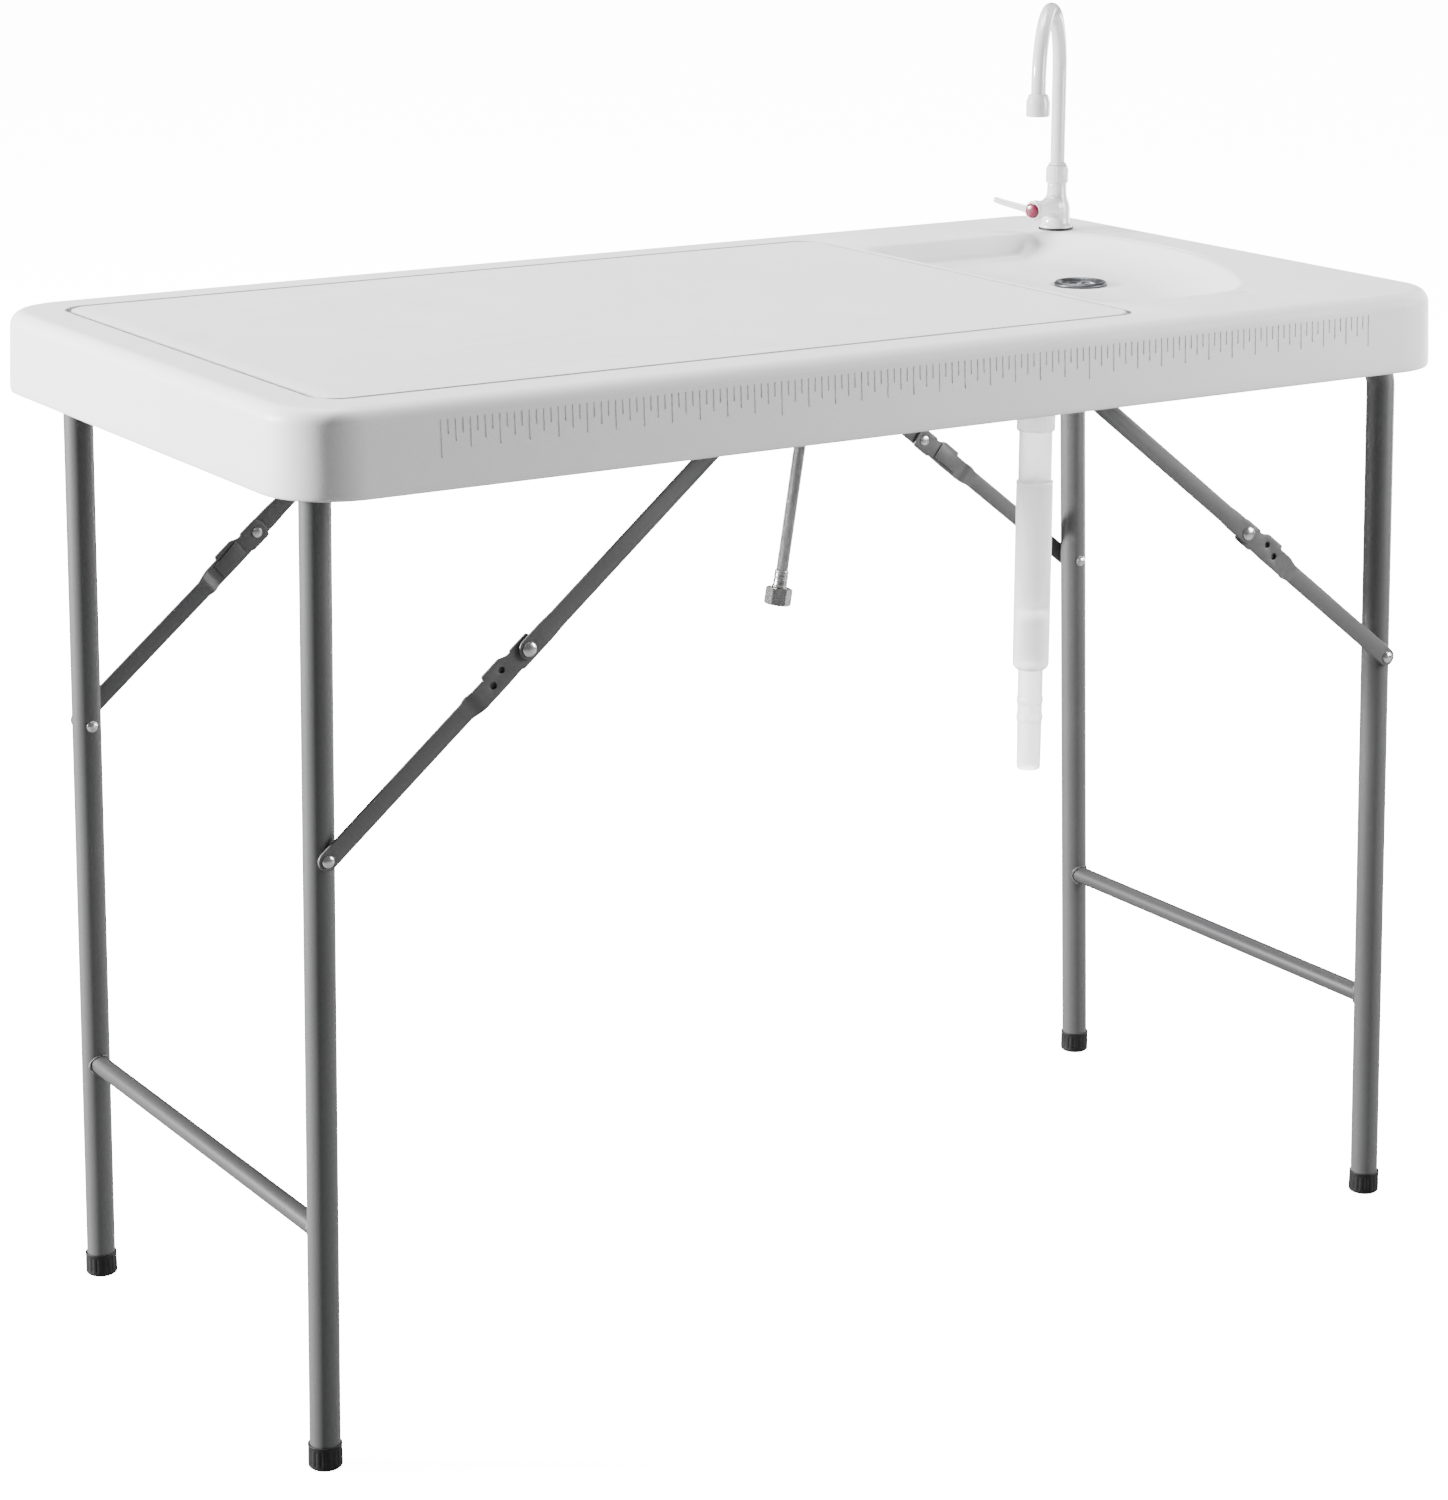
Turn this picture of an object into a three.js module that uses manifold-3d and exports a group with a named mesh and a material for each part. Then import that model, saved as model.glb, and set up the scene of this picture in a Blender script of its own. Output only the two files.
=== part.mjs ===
// Folding fish cleaning table with a moulded sink, a swivel faucet, a supply
// hose and a telescoping drain. Millimetres, +Z up. The origin is on the floor
// at the middle of the whole object; +X is the length, the sink is on the +X side and
// the front, with the measuring scale, faces -Y.
import * as THREE from 'three';
import { mergeVertices } from 'three/addons/utils/BufferGeometryUtils.js';
import Module from 'manifold-3d';

const wasm = await Module();
wasm.setup();

// ---------------------------------------------------------------- dimensions
const LENGTH = 1143, WIDTH = 610;            // tabletop outline at the skirt's lower edge
const TOP_Z = 883, SKIRT_Z = 814;            // work surface, lower edge of the skirt
const WALL = 5, PANEL = 6, SEAM = 0.3;       // skirt wall, panel thickness, gap between the moulding's zones
const CORNER_R = 62, EDGE_R = 12, DRAFT = 3.5;
const GROOVE = { x0: -522, x1: 250, y: 256.5, r: 24, w: 5, d: 2 };
const SINK_FLOOR_Z = 863, SINK_WALL = 6, SINK_LIP = 3;

const LEG_Y = 230.8, TUBE_R = 12.7, TUBE_BORE = 11.4, TUBE_SIDES = 12;
const SPREADER_R = 8.5, SPREADER_BORE = 7.3;
const CENTRE_X = 8.8;                        // middle of the whole object, from the middle of the tabletop
// foot: outward foot position, splay: outward lean, px/pz: fold axis,
// spreader: height of the spreader bar, rivet: height of the brace rivet,
// brace: angle of the straight brace, off: outward offset of the legs
const SIDES = {
  left: { sg: -1, foot: 536, splay: 0.0202, px: 536 - 0.0202 * 854, pz: 854, spreader: 203.9, rivet: 518.9, brace: 39.66 },
  right: { sg: 1, foot: 575, splay: 0.034, px: 524, pz: 848.5, spreader: 198.3, rivet: 536.3, brace: 38.23 },
};
const BEND_R = 38, JOGGLE_END = 62;          // top corners of the leg frames, end of the joggle
const CAP_R = 14.2, CAP_H = 21, CAP_FLOOR = 5, CAP_BORE = 13.35;

const STRAP_T = 2.5, STRAP_HALF = 8.2, LOCK_HALF = 9.8, HOLE_R = 3.3, PIN_R = 3;
const LOWER_Y = 245.4;                       // inner face of the lower arms
const JOGGLE_Y = 2.9;                        // outward step of the lower arm at the knee
const UPPER_Y = LOWER_Y + JOGGLE_Y + STRAP_T + 0.3;
const RAIL_Y = UPPER_Y + STRAP_T + 0.4;      // inner face of the side rails
const RAIL_HALF_L = 455, RAIL_Z0 = 863.5, RAIL_Z1 = 876.7;

const DRAIN = { x: 381, y: 0 }, PIPE_X = 333.5;
const FAUCET = { x: 497, y: 194 };
const SPOUT_DIR = new THREE.Vector2(-0.715, -0.699).normalize(), SPOUT_REACH = 128, SPOUT_R = 6.9, SPOUT_TOP = 1100;
const HUB_DIR = new THREE.Vector2(-0.92, -0.38).normalize(), HUB_Z = 905.5;

const HOSE_R = 6, HOSE_Y = 205;

// ----------------------------------------------------------------- materials
const mat = (color, roughness, metalness = 0, opacity = 1) =>
  new THREE.MeshStandardMaterial({ color, roughness, metalness, opacity, transparent: opacity < 1 });
const HDPE = () => mat('#dfe0e0', 0.42);
const COAT = () => mat('#6b6b6c', 0.45, 0.25);
const STEEL = () => mat('#c9cacb', 0.28, 1.0);
const RUBBER = () => mat('#151515', 0.6);
const ABS = () => mat('#eeeeec', 0.25);
const PE = () => mat('#e9ebeb', 0.4, 0, 0.8);
const RED = () => mat('#b3123f', 0.3);

// -------------------------------------------------------- solids and helpers
function solid(g) {
  const c = g.index ? g.toNonIndexed() : g.clone();
  for (const n of Object.keys(c.attributes)) if (n !== 'position') c.deleteAttribute(n);
  const m = mergeVertices(c, 1e-3);
  const p = m.attributes.position, src = m.index.array, idx = [];
  let vol = 0;
  const a = new THREE.Vector3(), b = new THREE.Vector3(), d = new THREE.Vector3();
  for (let i = 0; i < src.length; i += 3) {
    if (src[i] === src[i + 1] || src[i + 1] === src[i + 2] || src[i] === src[i + 2]) continue;
    idx.push(src[i], src[i + 1], src[i + 2]);
    a.fromBufferAttribute(p, src[i]); b.fromBufferAttribute(p, src[i + 1]); d.fromBufferAttribute(p, src[i + 2]);
    vol += a.dot(b.cross(d));
  }
  if (vol < 0) for (let i = 0; i < idx.length; i += 3) [idx[i + 1], idx[i + 2]] = [idx[i + 2], idx[i + 1]];
  return new wasm.Manifold(new wasm.Mesh({
    numProp: 3, vertProperties: new Float32Array(p.array), triVerts: new Uint32Array(idx),
  }));
}
function geometry(man) {
  const m = man.getMesh(), g = new THREE.BufferGeometry();
  g.setAttribute('position', new THREE.BufferAttribute(new Float32Array(m.vertProperties), 3));
  g.setIndex(new THREE.BufferAttribute(new Uint32Array(m.triVerts), 1));
  g.computeVertexNormals();
  return g;
}
const tidy = (g) => geometry(solid(g));

// Turned body about the Z axis from [radius, z] pairs.
function turned(profile, sides = 24) {
  const g = new THREE.LatheGeometry(profile.map(([r, z]) => new THREE.Vector2(r, z)), sides);
  g.rotateX(Math.PI / 2);
  return g;
}
// Plate in the XY plane, from z0 to z1.
function plate(points, z0, z1, holes = []) {
  const s = new THREE.Shape(points);
  for (const h of holes) s.holes.push(new THREE.Path(h));
  const g = new THREE.ExtrudeGeometry(s, { depth: z1 - z0, bevelEnabled: false });
  g.translate(0, 0, z0);
  return g;
}
const V2 = (x, y) => new THREE.Vector2(x, y);
function circle(x, y, r, n, a0 = 0) {
  return Array.from({ length: n }, (_, i) => V2(x + r * Math.cos(a0 + (2 * Math.PI * i) / n), y + r * Math.sin(a0 + (2 * Math.PI * i) / n)));
}
function roundedRect(x0, x1, y0, y1, r, n) {
  const out = [];
  const c = [[x1 - r, y1 - r, 0], [x0 + r, y1 - r, 1], [x0 + r, y0 + r, 2], [x1 - r, y0 + r, 3]];
  for (const [cx, cy, k] of c) for (let i = 0; i <= n; i++) {
    const t = (Math.PI / 2) * (k + i / n);
    out.push(V2(cx + r * Math.cos(t), cy + r * Math.sin(t)));
  }
  return out;
}
// A path with its own stations, so that bends get more of them than straights.
class Stations extends THREE.Curve {
  constructor(points) { super(); this.p = points; }
  getPoint(t) {
    const f = t * (this.p.length - 1), i = Math.min(Math.floor(f), this.p.length - 2);
    return this.p[i].clone().lerp(this.p[i + 1], f - i);
  }
  getSpacedPoints() { return this.p.map((q) => q.clone()); }
  getTangentAt(u) {
    const n = this.p.length - 1, i = Math.round(u * n);
    const a = this.p[Math.max(i - 1, 0)], m = this.p[i], b = this.p[Math.min(i + 1, n)];
    const v = new THREE.Vector3();
    if (i > 0) v.add(m.clone().sub(a).normalize());
    if (i < n) v.add(b.clone().sub(m).normalize());
    return v.normalize();
  }
}
function tube(points, r, sides, bore = 0) {
  const s = new THREE.Shape(circle(0, 0, r, sides));
  if (bore) s.holes.push(new THREE.Path(circle(0, 0, bore, sides)));
  return new THREE.ExtrudeGeometry(s, { steps: points.length - 1, extrudePath: new Stations(points), bevelEnabled: false });
}
// Positions below are measured from the middle of the tabletop.
const group = new THREE.Group();
group.position.x = -CENTRE_X;
function add(name, g, material, parent = group) {
  const m = new THREE.Mesh(g, material);
  m.name = name;
  parent.add(m);
  return m;
}

// ------------------------------------------------------------------ tabletop
const HX = LENGTH / 2, HY = WIDTH / 2;
function shell(hx, hy, r, layers) {
  // layers: [z, inset] from the bottom up
  const g = new THREE.ExtrudeGeometry(new THREE.Shape(roundedRect(-hx, hx, -hy, hy, r, 7)), { depth: 1, steps: layers.length - 1, bevelEnabled: false });
  const p = g.attributes.position;
  for (let i = 0; i < p.count; i++) {
    const [z, inset] = layers[Math.round(p.getZ(i) * (layers.length - 1))];
    const x = p.getX(i), y = p.getY(i);
    const cx = THREE.MathUtils.clamp(x, -(hx - r), hx - r), cy = THREE.MathUtils.clamp(y, -(hy - r), hy - r);
    const k = (r - inset) / r;
    p.setXYZ(i, cx + (x - cx) * k, cy + (y - cy) * k, z);
  }
  return g;
}
const draft = (z) => (DRAFT * (z - SKIRT_Z)) / (TOP_Z - SKIRT_Z);
const outer = [[SKIRT_Z, 2.2], [SKIRT_Z + 2.5, 0.4]];
for (let i = 0; i <= 4; i++) {
  const t = (Math.PI / 2) * (i / 4), z = TOP_Z - EDGE_R + EDGE_R * Math.sin(t);
  outer.push([z, draft(z) + EDGE_R * (1 - Math.cos(t))]);
}
// The moulding is drawn in three zones that meet at hairline seams: the flat
// panel, the skirt under its edge and the sink bowl.
const seam = TOP_Z - PANEL;
const slab = (z0, z1) => solid(plate([V2(-HX - 9, -HY - 9), V2(HX + 9, -HY - 9), V2(HX + 9, HY + 9), V2(-HX - 9, HY + 9)], z0, z1));
const inner = [[SKIRT_Z - 1, 0], [TOP_Z - PANEL - 8, draft(TOP_Z - 14)], [TOP_Z - PANEL - 2.5, draft(TOP_Z - 8) + 2], [TOP_Z - PANEL, draft(TOP_Z - 6) + 8]];
const hollow = solid(shell(HX, HY, CORNER_R, outer)).subtract(solid(shell(HX - WALL, HY - WALL, CORNER_R - WALL, inner)));
add('tabletop_skirt', geometry(hollow.subtract(slab(seam - SEAM, TOP_Z + 5))), HDPE());
let top = hollow.intersect(slab(seam, TOP_Z + 5));

// Sink outline at the work surface (anticlockwise) with the inward run of the
// side below each point: short at the left and back, a long cove elsewhere.
const RIM = [
  [259, -188, 5, 5], [259, -90, 5, 0], [259, 0, 5, 0], [259, 90, 5, 0], [259, 168, 5, 0], [264, 182, 5, -5], [278, 187, 3, -5],
  [330, 187, 0, -5], [390, 187, -4, -6], [436, 186, -20, -8], [462, 181, -42, -16], [481, 170, -58, -24], [494, 151, -66, -26],
  [504, 122, -70, -22], [509, 85, -72, -14], [509, 45, -74, -6], [505, 3, -74, 4], [491, -52, -72, 16], [468, -106, -66, 30],
  [446, -148, -54, 42], [424, -178, -38, 50], [400, -197, -24, 52], [370, -205, -12, 52], [330, -206, -2, 50], [290, -205, 4, 44], [268, -200, 6, 24],
];
const rim = RIM.map(([x, y]) => V2(x, y));
const floorEdge = RIM.map(([x, y, dx, dy]) => V2(x + dx, y + dy));
function offsetOutline(pts, d) {
  return pts.map((p, i) => {
    const a = pts[(i + pts.length - 1) % pts.length], b = pts[(i + 1) % pts.length];
    const t = b.clone().sub(a).normalize();
    const s = Math.sign(THREE.ShapeUtils.area(pts));
    return V2(p.x + t.y * d * s, p.y - t.x * d * s);
  });
}
function basin(rimPts, floorPts, zTop, zFloor, zOver) {
  const K = 5, g = new THREE.ExtrudeGeometry(new THREE.Shape(rimPts), { depth: 1, steps: K + 1, bevelEnabled: false });
  const nearest = (x, y) => rimPts.reduce((b, q, i) => { const d = Math.hypot(q.x - x, q.y - y); return d < b[1] ? [i, d] : b; }, [0, Infinity])[0];
  const p = g.attributes.position;
  for (let i = 0; i < p.count; i++) {
    const k = Math.round(p.getZ(i) * (K + 1)), j = nearest(p.getX(i), p.getY(i));
    const t = Math.min(k / K, 1), q = floorPts[j].clone().lerp(rimPts[j], t);
    p.setXYZ(i, q.x, q.y, k > K ? zOver : zFloor + (zTop - zFloor) * t * t);
  }
  return g;
}
const rimOut = offsetOutline(rim, SINK_LIP), floorOut = offsetOutline(floorEdge, SINK_WALL);
let bowl = solid(basin(rimOut, floorOut, seam + 1, SINK_FLOOR_Z - SINK_WALL, TOP_Z));
bowl = bowl.subtract(solid(basin(rim, floorEdge, TOP_Z, SINK_FLOOR_Z, TOP_Z + 2)));
bowl = bowl.subtract(solid(plate(circle(DRAIN.x, DRAIN.y, 17, 24), SINK_FLOOR_Z - 20, TOP_Z)));
add('sink_bowl', geometry(bowl), HDPE());
top = top.subtract(solid(plate(offsetOutline(rim, SINK_LIP + SEAM), seam - 2, TOP_Z + 2)));
// perimeter groove of the work panel
const G = GROOVE, gw = G.w / 2;
top = top.subtract(solid(plate(
  roundedRect(G.x0 - gw, G.x1 + gw, -G.y - gw, G.y + gw, G.r + gw, 5), TOP_Z - G.d, TOP_Z + 1,
  [roundedRect(G.x0 + gw, G.x1 - gw, -G.y + gw, G.y - gw, G.r - gw, 5)])));
// faucet hole
top = top.subtract(solid(plate(circle(FAUCET.x, FAUCET.y, 11, 20), TOP_Z - 30, TOP_Z + 5)));
add('tabletop', geometry(top), HDPE());

// -------------------------------------------------------------- fold linkage
// Everything is solved in (X, z), X outward from the middle of the table.
for (const k of Object.keys(SIDES)) {
  const s = SIDES[k];
  const len = Math.hypot(s.splay, 1);
  s.tilt = Math.atan(s.splay);
  s.down = V2(s.splay / len, -1 / len);
  s.out = V2(1 / len, s.splay / len);
  s.off = V2(s.foot - s.px, -s.pz).dot(s.out);
  s.level = s.pz - s.off;                                     // leg axis when folded
  s.D = V2(s.foot - s.splay * s.rivet, s.rivet);
  const alongD = V2(s.D.x - s.px, s.D.y - s.pz).dot(s.down);
  s.along = alongD;
  s.foldedD = V2(s.px - alongD, s.level);
  const a = THREE.MathUtils.degToRad(s.brace);
  const sum = (s.level - s.D.y) / Math.sin(a);
  const dif = sum * Math.cos(a) - (s.D.x - s.foldedD.x);
  s.lower = (sum - dif) / 2;
  s.upper = (sum + dif) / 2;
  s.B = V2(s.D.x - sum * Math.cos(a), s.level);
  s.C = V2(s.D.x - s.lower * Math.cos(a), s.D.y + s.lower * Math.sin(a));
  s.a = a;
}

// ------------------------------------------------- side rails with root tabs
for (const [side, fy] of [['front', -1], ['back', 1]]) {
  const L = SIDES.left, R = SIDES.right;
  const tab = (x, z) => [V2(x - 17, RAIL_Z0), V2(x - 9.5, z - 4), ...[0, 1, 2, 3, 4].map((i) => {
    const t = Math.PI + (Math.PI * (i + 0.5)) / 5;
    return V2(x + 9.5 * Math.cos(t), z + 9.5 * Math.sin(t));
  }), V2(x + 9.5, z - 4), V2(x + 17, RAIL_Z0)];
  const outline = [V2(-RAIL_HALF_L, RAIL_Z1), V2(-RAIL_HALF_L, RAIL_Z0), ...tab(-L.B.x, L.B.y), ...tab(R.B.x, R.B.y), V2(RAIL_HALF_L, RAIL_Z0), V2(RAIL_HALF_L, RAIL_Z1)];
  const holes = [circle(-L.B.x, L.B.y, HOLE_R, 10), circle(R.B.x, R.B.y, HOLE_R, 10)];
  const web = plate(outline, 0, STRAP_T, holes);
  web.applyMatrix4(new THREE.Matrix4().set(1, 0, 0, 0, 0, 0, fy, fy * RAIL_Y, 0, 1, 0, 0, 0, 0, 0, 1));
  const flange = plate([V2(-RAIL_HALF_L, 0), V2(RAIL_HALF_L, 0), V2(RAIL_HALF_L, 24), V2(-RAIL_HALF_L, 24)], RAIL_Z1 - STRAP_T, RAIL_Z1);
  flange.applyMatrix4(new THREE.Matrix4().set(1, 0, 0, 0, 0, fy, 0, fy * RAIL_Y, 0, 0, 1, 0, 0, 0, 0, 1));
  add('side_rail_' + side, geometry(solid(web).add(solid(flange))), COAT());
}

// ---------------------------------------------------------------- leg frames
for (const side of ['left', 'right']) {
  const s = SIDES[side];
  const rig = new THREE.Group();
  rig.position.set(s.sg * s.px, 0, s.pz);
  rig.rotation.y = -s.sg * s.tilt;
  group.add(rig);
  const smooth = (v) => { const t = THREE.MathUtils.clamp(v, 0, 1); return t * t * (3 - 2 * t); };
  const at = (y, d) => new THREE.Vector3(s.sg * s.off * smooth((d - 2) / (JOGGLE_END - 2)), y, -d);
  const endD = (s.pz + s.off * Math.sin(s.tilt) - CAP_FLOOR - 0.8) / Math.cos(s.tilt);
  const half = [at(-LEG_Y, endD)];
  const bends = Math.abs(s.off) > 1 ? [JOGGLE_END + 2, 57, 51, 45] : [BEND_R + 14];
  for (const d of bends) half.push(at(-LEG_Y, d));
  for (let i = 0; i <= 7; i++) {
    const t = (Math.PI / 2) * (i / 7);
    half.push(at(-LEG_Y + BEND_R * (1 - Math.cos(t)), BEND_R * (1 - Math.sin(t))));
  }
  const path = [...half, ...half.slice().reverse().map((q) => new THREE.Vector3(q.x, -q.y, q.z))];
  // the peened rivet tail stands on the inner side of each leg
  let legs = solid(tube(path, TUBE_R, TUBE_SIDES, TUBE_BORE));
  for (const fy of [-1, 1]) {
    const tail = turned([[0, -1.2], [4.6, -1.2], [4.6, 0.3], [3.6, 2.3], [0, 2.9]], 10);
    tail.rotateX(fy > 0 ? Math.PI / 2 : -Math.PI / 2);
    tail.translate(s.sg * s.off, fy * (LEG_Y - TUBE_R), -s.along);
    legs = legs.add(solid(tail));
  }
  add('leg_frame_' + side, geometry(legs), COAT(), rig);

  const sd = (s.pz + s.off * Math.sin(s.tilt) - s.spreader) / Math.cos(s.tilt);
  const ye = LEG_Y - TUBE_R - 0.3;
  add('spreader_' + side, tidy(tube([new THREE.Vector3(0, -ye, 0), new THREE.Vector3(0, ye, 0)], SPREADER_R, 12, SPREADER_BORE)), COAT(), rig)
    .position.set(s.sg * s.off, 0, -sd);

  for (const [end, fy] of [['front', -1], ['back', 1]]) {
    // foot cap: flat on the floor, blind bore for the tube
    add(`foot_cap_${side}_${end}`, tidy(turned([
      [0, 0], [CAP_R - 1.2, 0], [CAP_R, 1.5], [CAP_R - 0.3, CAP_H], [CAP_BORE, CAP_H], [CAP_BORE, CAP_FLOOR], [0, CAP_FLOOR]], 16)), RUBBER())
      .position.set(s.sg * (s.foot - s.splay * 12), fy * LEG_Y, 0);

    // lower arm: strap from the leg rivet to the knee, stepped outward and
    // widened at the lock section
    const Lu = s.lower, T = STRAP_T, J = JOGGLE_Y;
    const profile = plate([V2(-12, 0), V2(Lu - 66, 0), V2(Lu - 56, J), V2(Lu + 14, J), V2(Lu + 14, J + T), V2(Lu - 56.6, J + T), V2(Lu - 66.6, T), V2(-12, T)], -20, 20);
    const arc = (cx, r, t0, t1, n) => Array.from({ length: n + 1 }, (_, i) => { const t = t0 + ((t1 - t0) * i) / n; return V2(cx + r * Math.cos(t), r * Math.sin(t)); });
    const lockTab = [V2(Lu - 20, LOCK_HALF), V2(Lu - 22, LOCK_HALF + 4), V2(Lu - 40, LOCK_HALF + 4), V2(Lu - 43, LOCK_HALF)];
    const plan = plate([
      ...arc(0, STRAP_HALF, Math.PI / 2, (3 * Math.PI) / 2, 8), V2(Lu - 70, -STRAP_HALF), V2(Lu - 62, -LOCK_HALF),
      ...arc(Lu, LOCK_HALF, -Math.PI / 2, Math.PI / 2, 8), ...lockTab, V2(Lu - 62, LOCK_HALF), V2(Lu - 70, STRAP_HALF)], -1, 8,
    [circle(0, 0, HOLE_R, 10), circle(Lu, 0, HOLE_R, 10), circle(Lu - 49, 0, 3, 8)]);
    plan.applyMatrix4(new THREE.Matrix4().set(1, 0, 0, 0, 0, 0, 1, 0, 0, 1, 0, 0, 0, 0, 0, 1));   // (u, w, v)
    const lower = geometry(solid(profile).intersect(solid(plan)));
    const ux = -s.sg * Math.cos(s.a), uz = Math.sin(s.a);
    // u along the strap, w outward, v across with its upper edge up
    const place = (g, y) => { g.applyMatrix4(new THREE.Matrix4().set(ux, 0, s.sg * uz, 0, 0, fy, 0, fy * y, uz, 0, Math.abs(ux), 0, 0, 0, 0, 1)); return tidy(g); };
    add(`lower_arm_${side}_${end}`, place(lower, LOWER_Y), COAT()).position.set(s.sg * s.D.x, 0, s.D.y);

    // upper arm: flat strap from the root to the knee, drawn from the knee up
    const Uu = s.upper;
    const strap = plate([...arc(0, STRAP_HALF + 0.8, Math.PI / 2, (3 * Math.PI) / 2, 8), V2(20, -STRAP_HALF - 0.8), V2(34, -STRAP_HALF),
      ...arc(Uu, STRAP_HALF, -Math.PI / 2, Math.PI / 2, 8), V2(34, STRAP_HALF), V2(20, STRAP_HALF + 0.8)], 0, T,
    [circle(0, 0, HOLE_R, 10), circle(Uu, 0, HOLE_R, 10)]);
    strap.applyMatrix4(new THREE.Matrix4().set(1, 0, 0, 0, 0, 0, 1, 0, 0, 1, 0, 0, 0, 0, 0, 1));
    add(`upper_arm_${side}_${end}`, place(strap, UPPER_Y), COAT()).position.set(s.sg * s.C.x, 0, s.C.y);

    // rivets, turned about the outward direction
    const pin = (prof, sides = 10) => { const g = turned(prof, sides); g.rotateX(fy > 0 ? -Math.PI / 2 : Math.PI / 2); return tidy(g); };
    const gap = 0.3, dome = (y, r, h) => [[r, y], [r * 0.9, y + h * 0.5], [r * 0.5, y + h * 0.92], [0, y + h]];
    add(`leg_rivet_head_${side}_${end}`, pin([[0, LOWER_Y + 0.1], [PIN_R, LOWER_Y + 0.1], [PIN_R, LOWER_Y + T + gap], ...dome(LOWER_Y + T + gap, 6.4, 2.5)]), STEEL())
      .position.set(s.sg * s.D.x, 0, s.D.y);
    const k0 = LOWER_Y + J - gap, k1 = UPPER_Y + T + gap;
    add(`knee_rivet_${side}_${end}`, pin([[0, k0 - 1.8], [4.8, k0 - 1.5], [5, k0], [PIN_R, k0], [PIN_R, k1], ...dome(k1, 6.2, 2.4)]), STEEL())
      .position.set(s.sg * s.C.x, 0, s.C.y);
    const r0 = UPPER_Y - gap, r1 = RAIL_Y + T + gap;
    add(`root_rivet_${side}_${end}`, pin([[0, r0 - 2.1], [3.4, r0 - 1.9], [6.2, r0 - 0.9], [6.4, r0], [PIN_R, r0], [PIN_R, r1], [5.2, r1], [4.6, r1 + 1.8], [0, r1 + 2]]), STEEL())
      .position.set(s.sg * s.B.x, 0, s.B.y);

    // saddle bracket that hangs the top bar of the leg frame under the panel
    const bz = s.pz, px = s.sg * s.px, zt = TOP_Z - PANEL - 0.3;
    const h = zt - bz, saddle = plate([V2(-15.5, h), V2(-14.6, -3), V2(-12.4, -8.6), V2(-7.5, -12.9), V2(0, -14.8), V2(7.5, -12.9), V2(12.4, -8.6), V2(14.6, -3),
      V2(16, h - 2.5), V2(30, h - 2.5), V2(30, h)].map((q) => V2(s.sg * q.x, q.y)), -13, 13, [circle(0, 0, TUBE_R + 0.5, 14)]);
    saddle.applyMatrix4(new THREE.Matrix4().set(1, 0, 0, 0, 0, 0, -1, 0, 0, 1, 0, 0, 0, 0, 0, 1));
    add(`pivot_bracket_${side}_${end}`, tidy(saddle), COAT()).position.set(px, fy * 150, bz);
  }
}

// --------------------------------------------------------------------- drain
const F = SINK_FLOOR_Z;
add('drain_rim', tidy(turned([[18.2, F + 0.3], [24.5, F + 0.3], [24.5, F + 1.6], [22.6, F + 3.4], [20.4, F + 3.2], [18.2, F + 0.3]], 20)), STEEL())
  .position.set(DRAIN.x, DRAIN.y, 0);
add('drain_tailpiece', tidy(turned([[14.2, F - 29], [16.6, F - 29], [16.6, F - 1], [16.2, F - 1], [14.2, F - 5], [14.2, F - 29]], 16)), STEEL())
  .position.set(DRAIN.x, DRAIN.y, 0);
add('drain_strainer', tidy(turned([[0, F - 13], [8.5, F - 13], [12.6, F - 5.2], [15.4, F - 1.4], [14.6, F - 0.6], [11.4, F - 3.6], [7.6, F - 9.5], [3, F - 9.5], [3, F + 1.4], [0, F + 1.8]], 16)), STEEL())
  .position.set(DRAIN.x, DRAIN.y, 0);
add('drain_locknut', tidy(plate(circle(0, 0, 26, 8, Math.PI / 8), F - SINK_WALL - 9, F - SINK_WALL - 0.3, [circle(0, 0, 16.9, 24)])), PE())
  .position.set(DRAIN.x, DRAIN.y, 0);
const elbow = [];
{
  const z0 = F - 29.3, z1 = 749.1, dx = DRAIN.x - PIPE_X, run = 72, lead = (z0 - z1 - run) / 2;
  const half = Math.atan2(dx, run), ang = 2 * half, rho = dx / 2 / (1 - Math.cos(ang));
  elbow.push(new THREE.Vector3(DRAIN.x, 0, z0));
  for (let i = 0; i <= 6; i++) { const t = (ang * i) / 6; elbow.push(new THREE.Vector3(DRAIN.x - rho * (1 - Math.cos(t)), 0, z0 - lead - rho * Math.sin(t))); }
  for (let i = 5; i >= 0; i--) { const t = (ang * i) / 6; elbow.push(new THREE.Vector3(PIPE_X + rho * (1 - Math.cos(t)), 0, z1 + lead + rho * Math.sin(t))); }
  elbow.push(new THREE.Vector3(PIPE_X, 0, z1));
}
add('drain_offset_elbow', tidy(tube(elbow, 17, 12, 14)), PE());
add('drain_slip_nut', tidy(turned([[15.9, 731], [22.2, 731], [22.8, 732.5], [22.8, 747.5], [22, 748.8], [15.9, 748.8], [15.9, 731]], 16)), PE()).position.set(PIPE_X, 0, 0);
add('drain_upper_tube', tidy(turned([[13.5, 562], [15.5, 562], [15.5, 748.8], [13.5, 748.8], [13.5, 562]], 16)), PE()).position.set(PIPE_X, 0, 0);
add('drain_sleeve', tidy(turned([[13.1, 502.3], [15, 502.3], [16.6, 504], [17.2, 507.5], [17.2, 683], [15.85, 683], [15.85, 511], [13.1, 509], [13.1, 502.3]], 16)), PE()).position.set(PIPE_X, 0, 0);
add('drain_spigot', tidy(turned([[9.9, 404], [11.2, 404], [11.6, 452], [12.5, 453.5], [12.5, 456], [11.7, 457.5], [11.7, 469], [12.5, 470.5], [12.5, 473], [11.8, 474.5], [11.8, 548], [9.9, 548], [9.9, 404]], 16)), PE()).position.set(PIPE_X, 0, 0);

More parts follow.
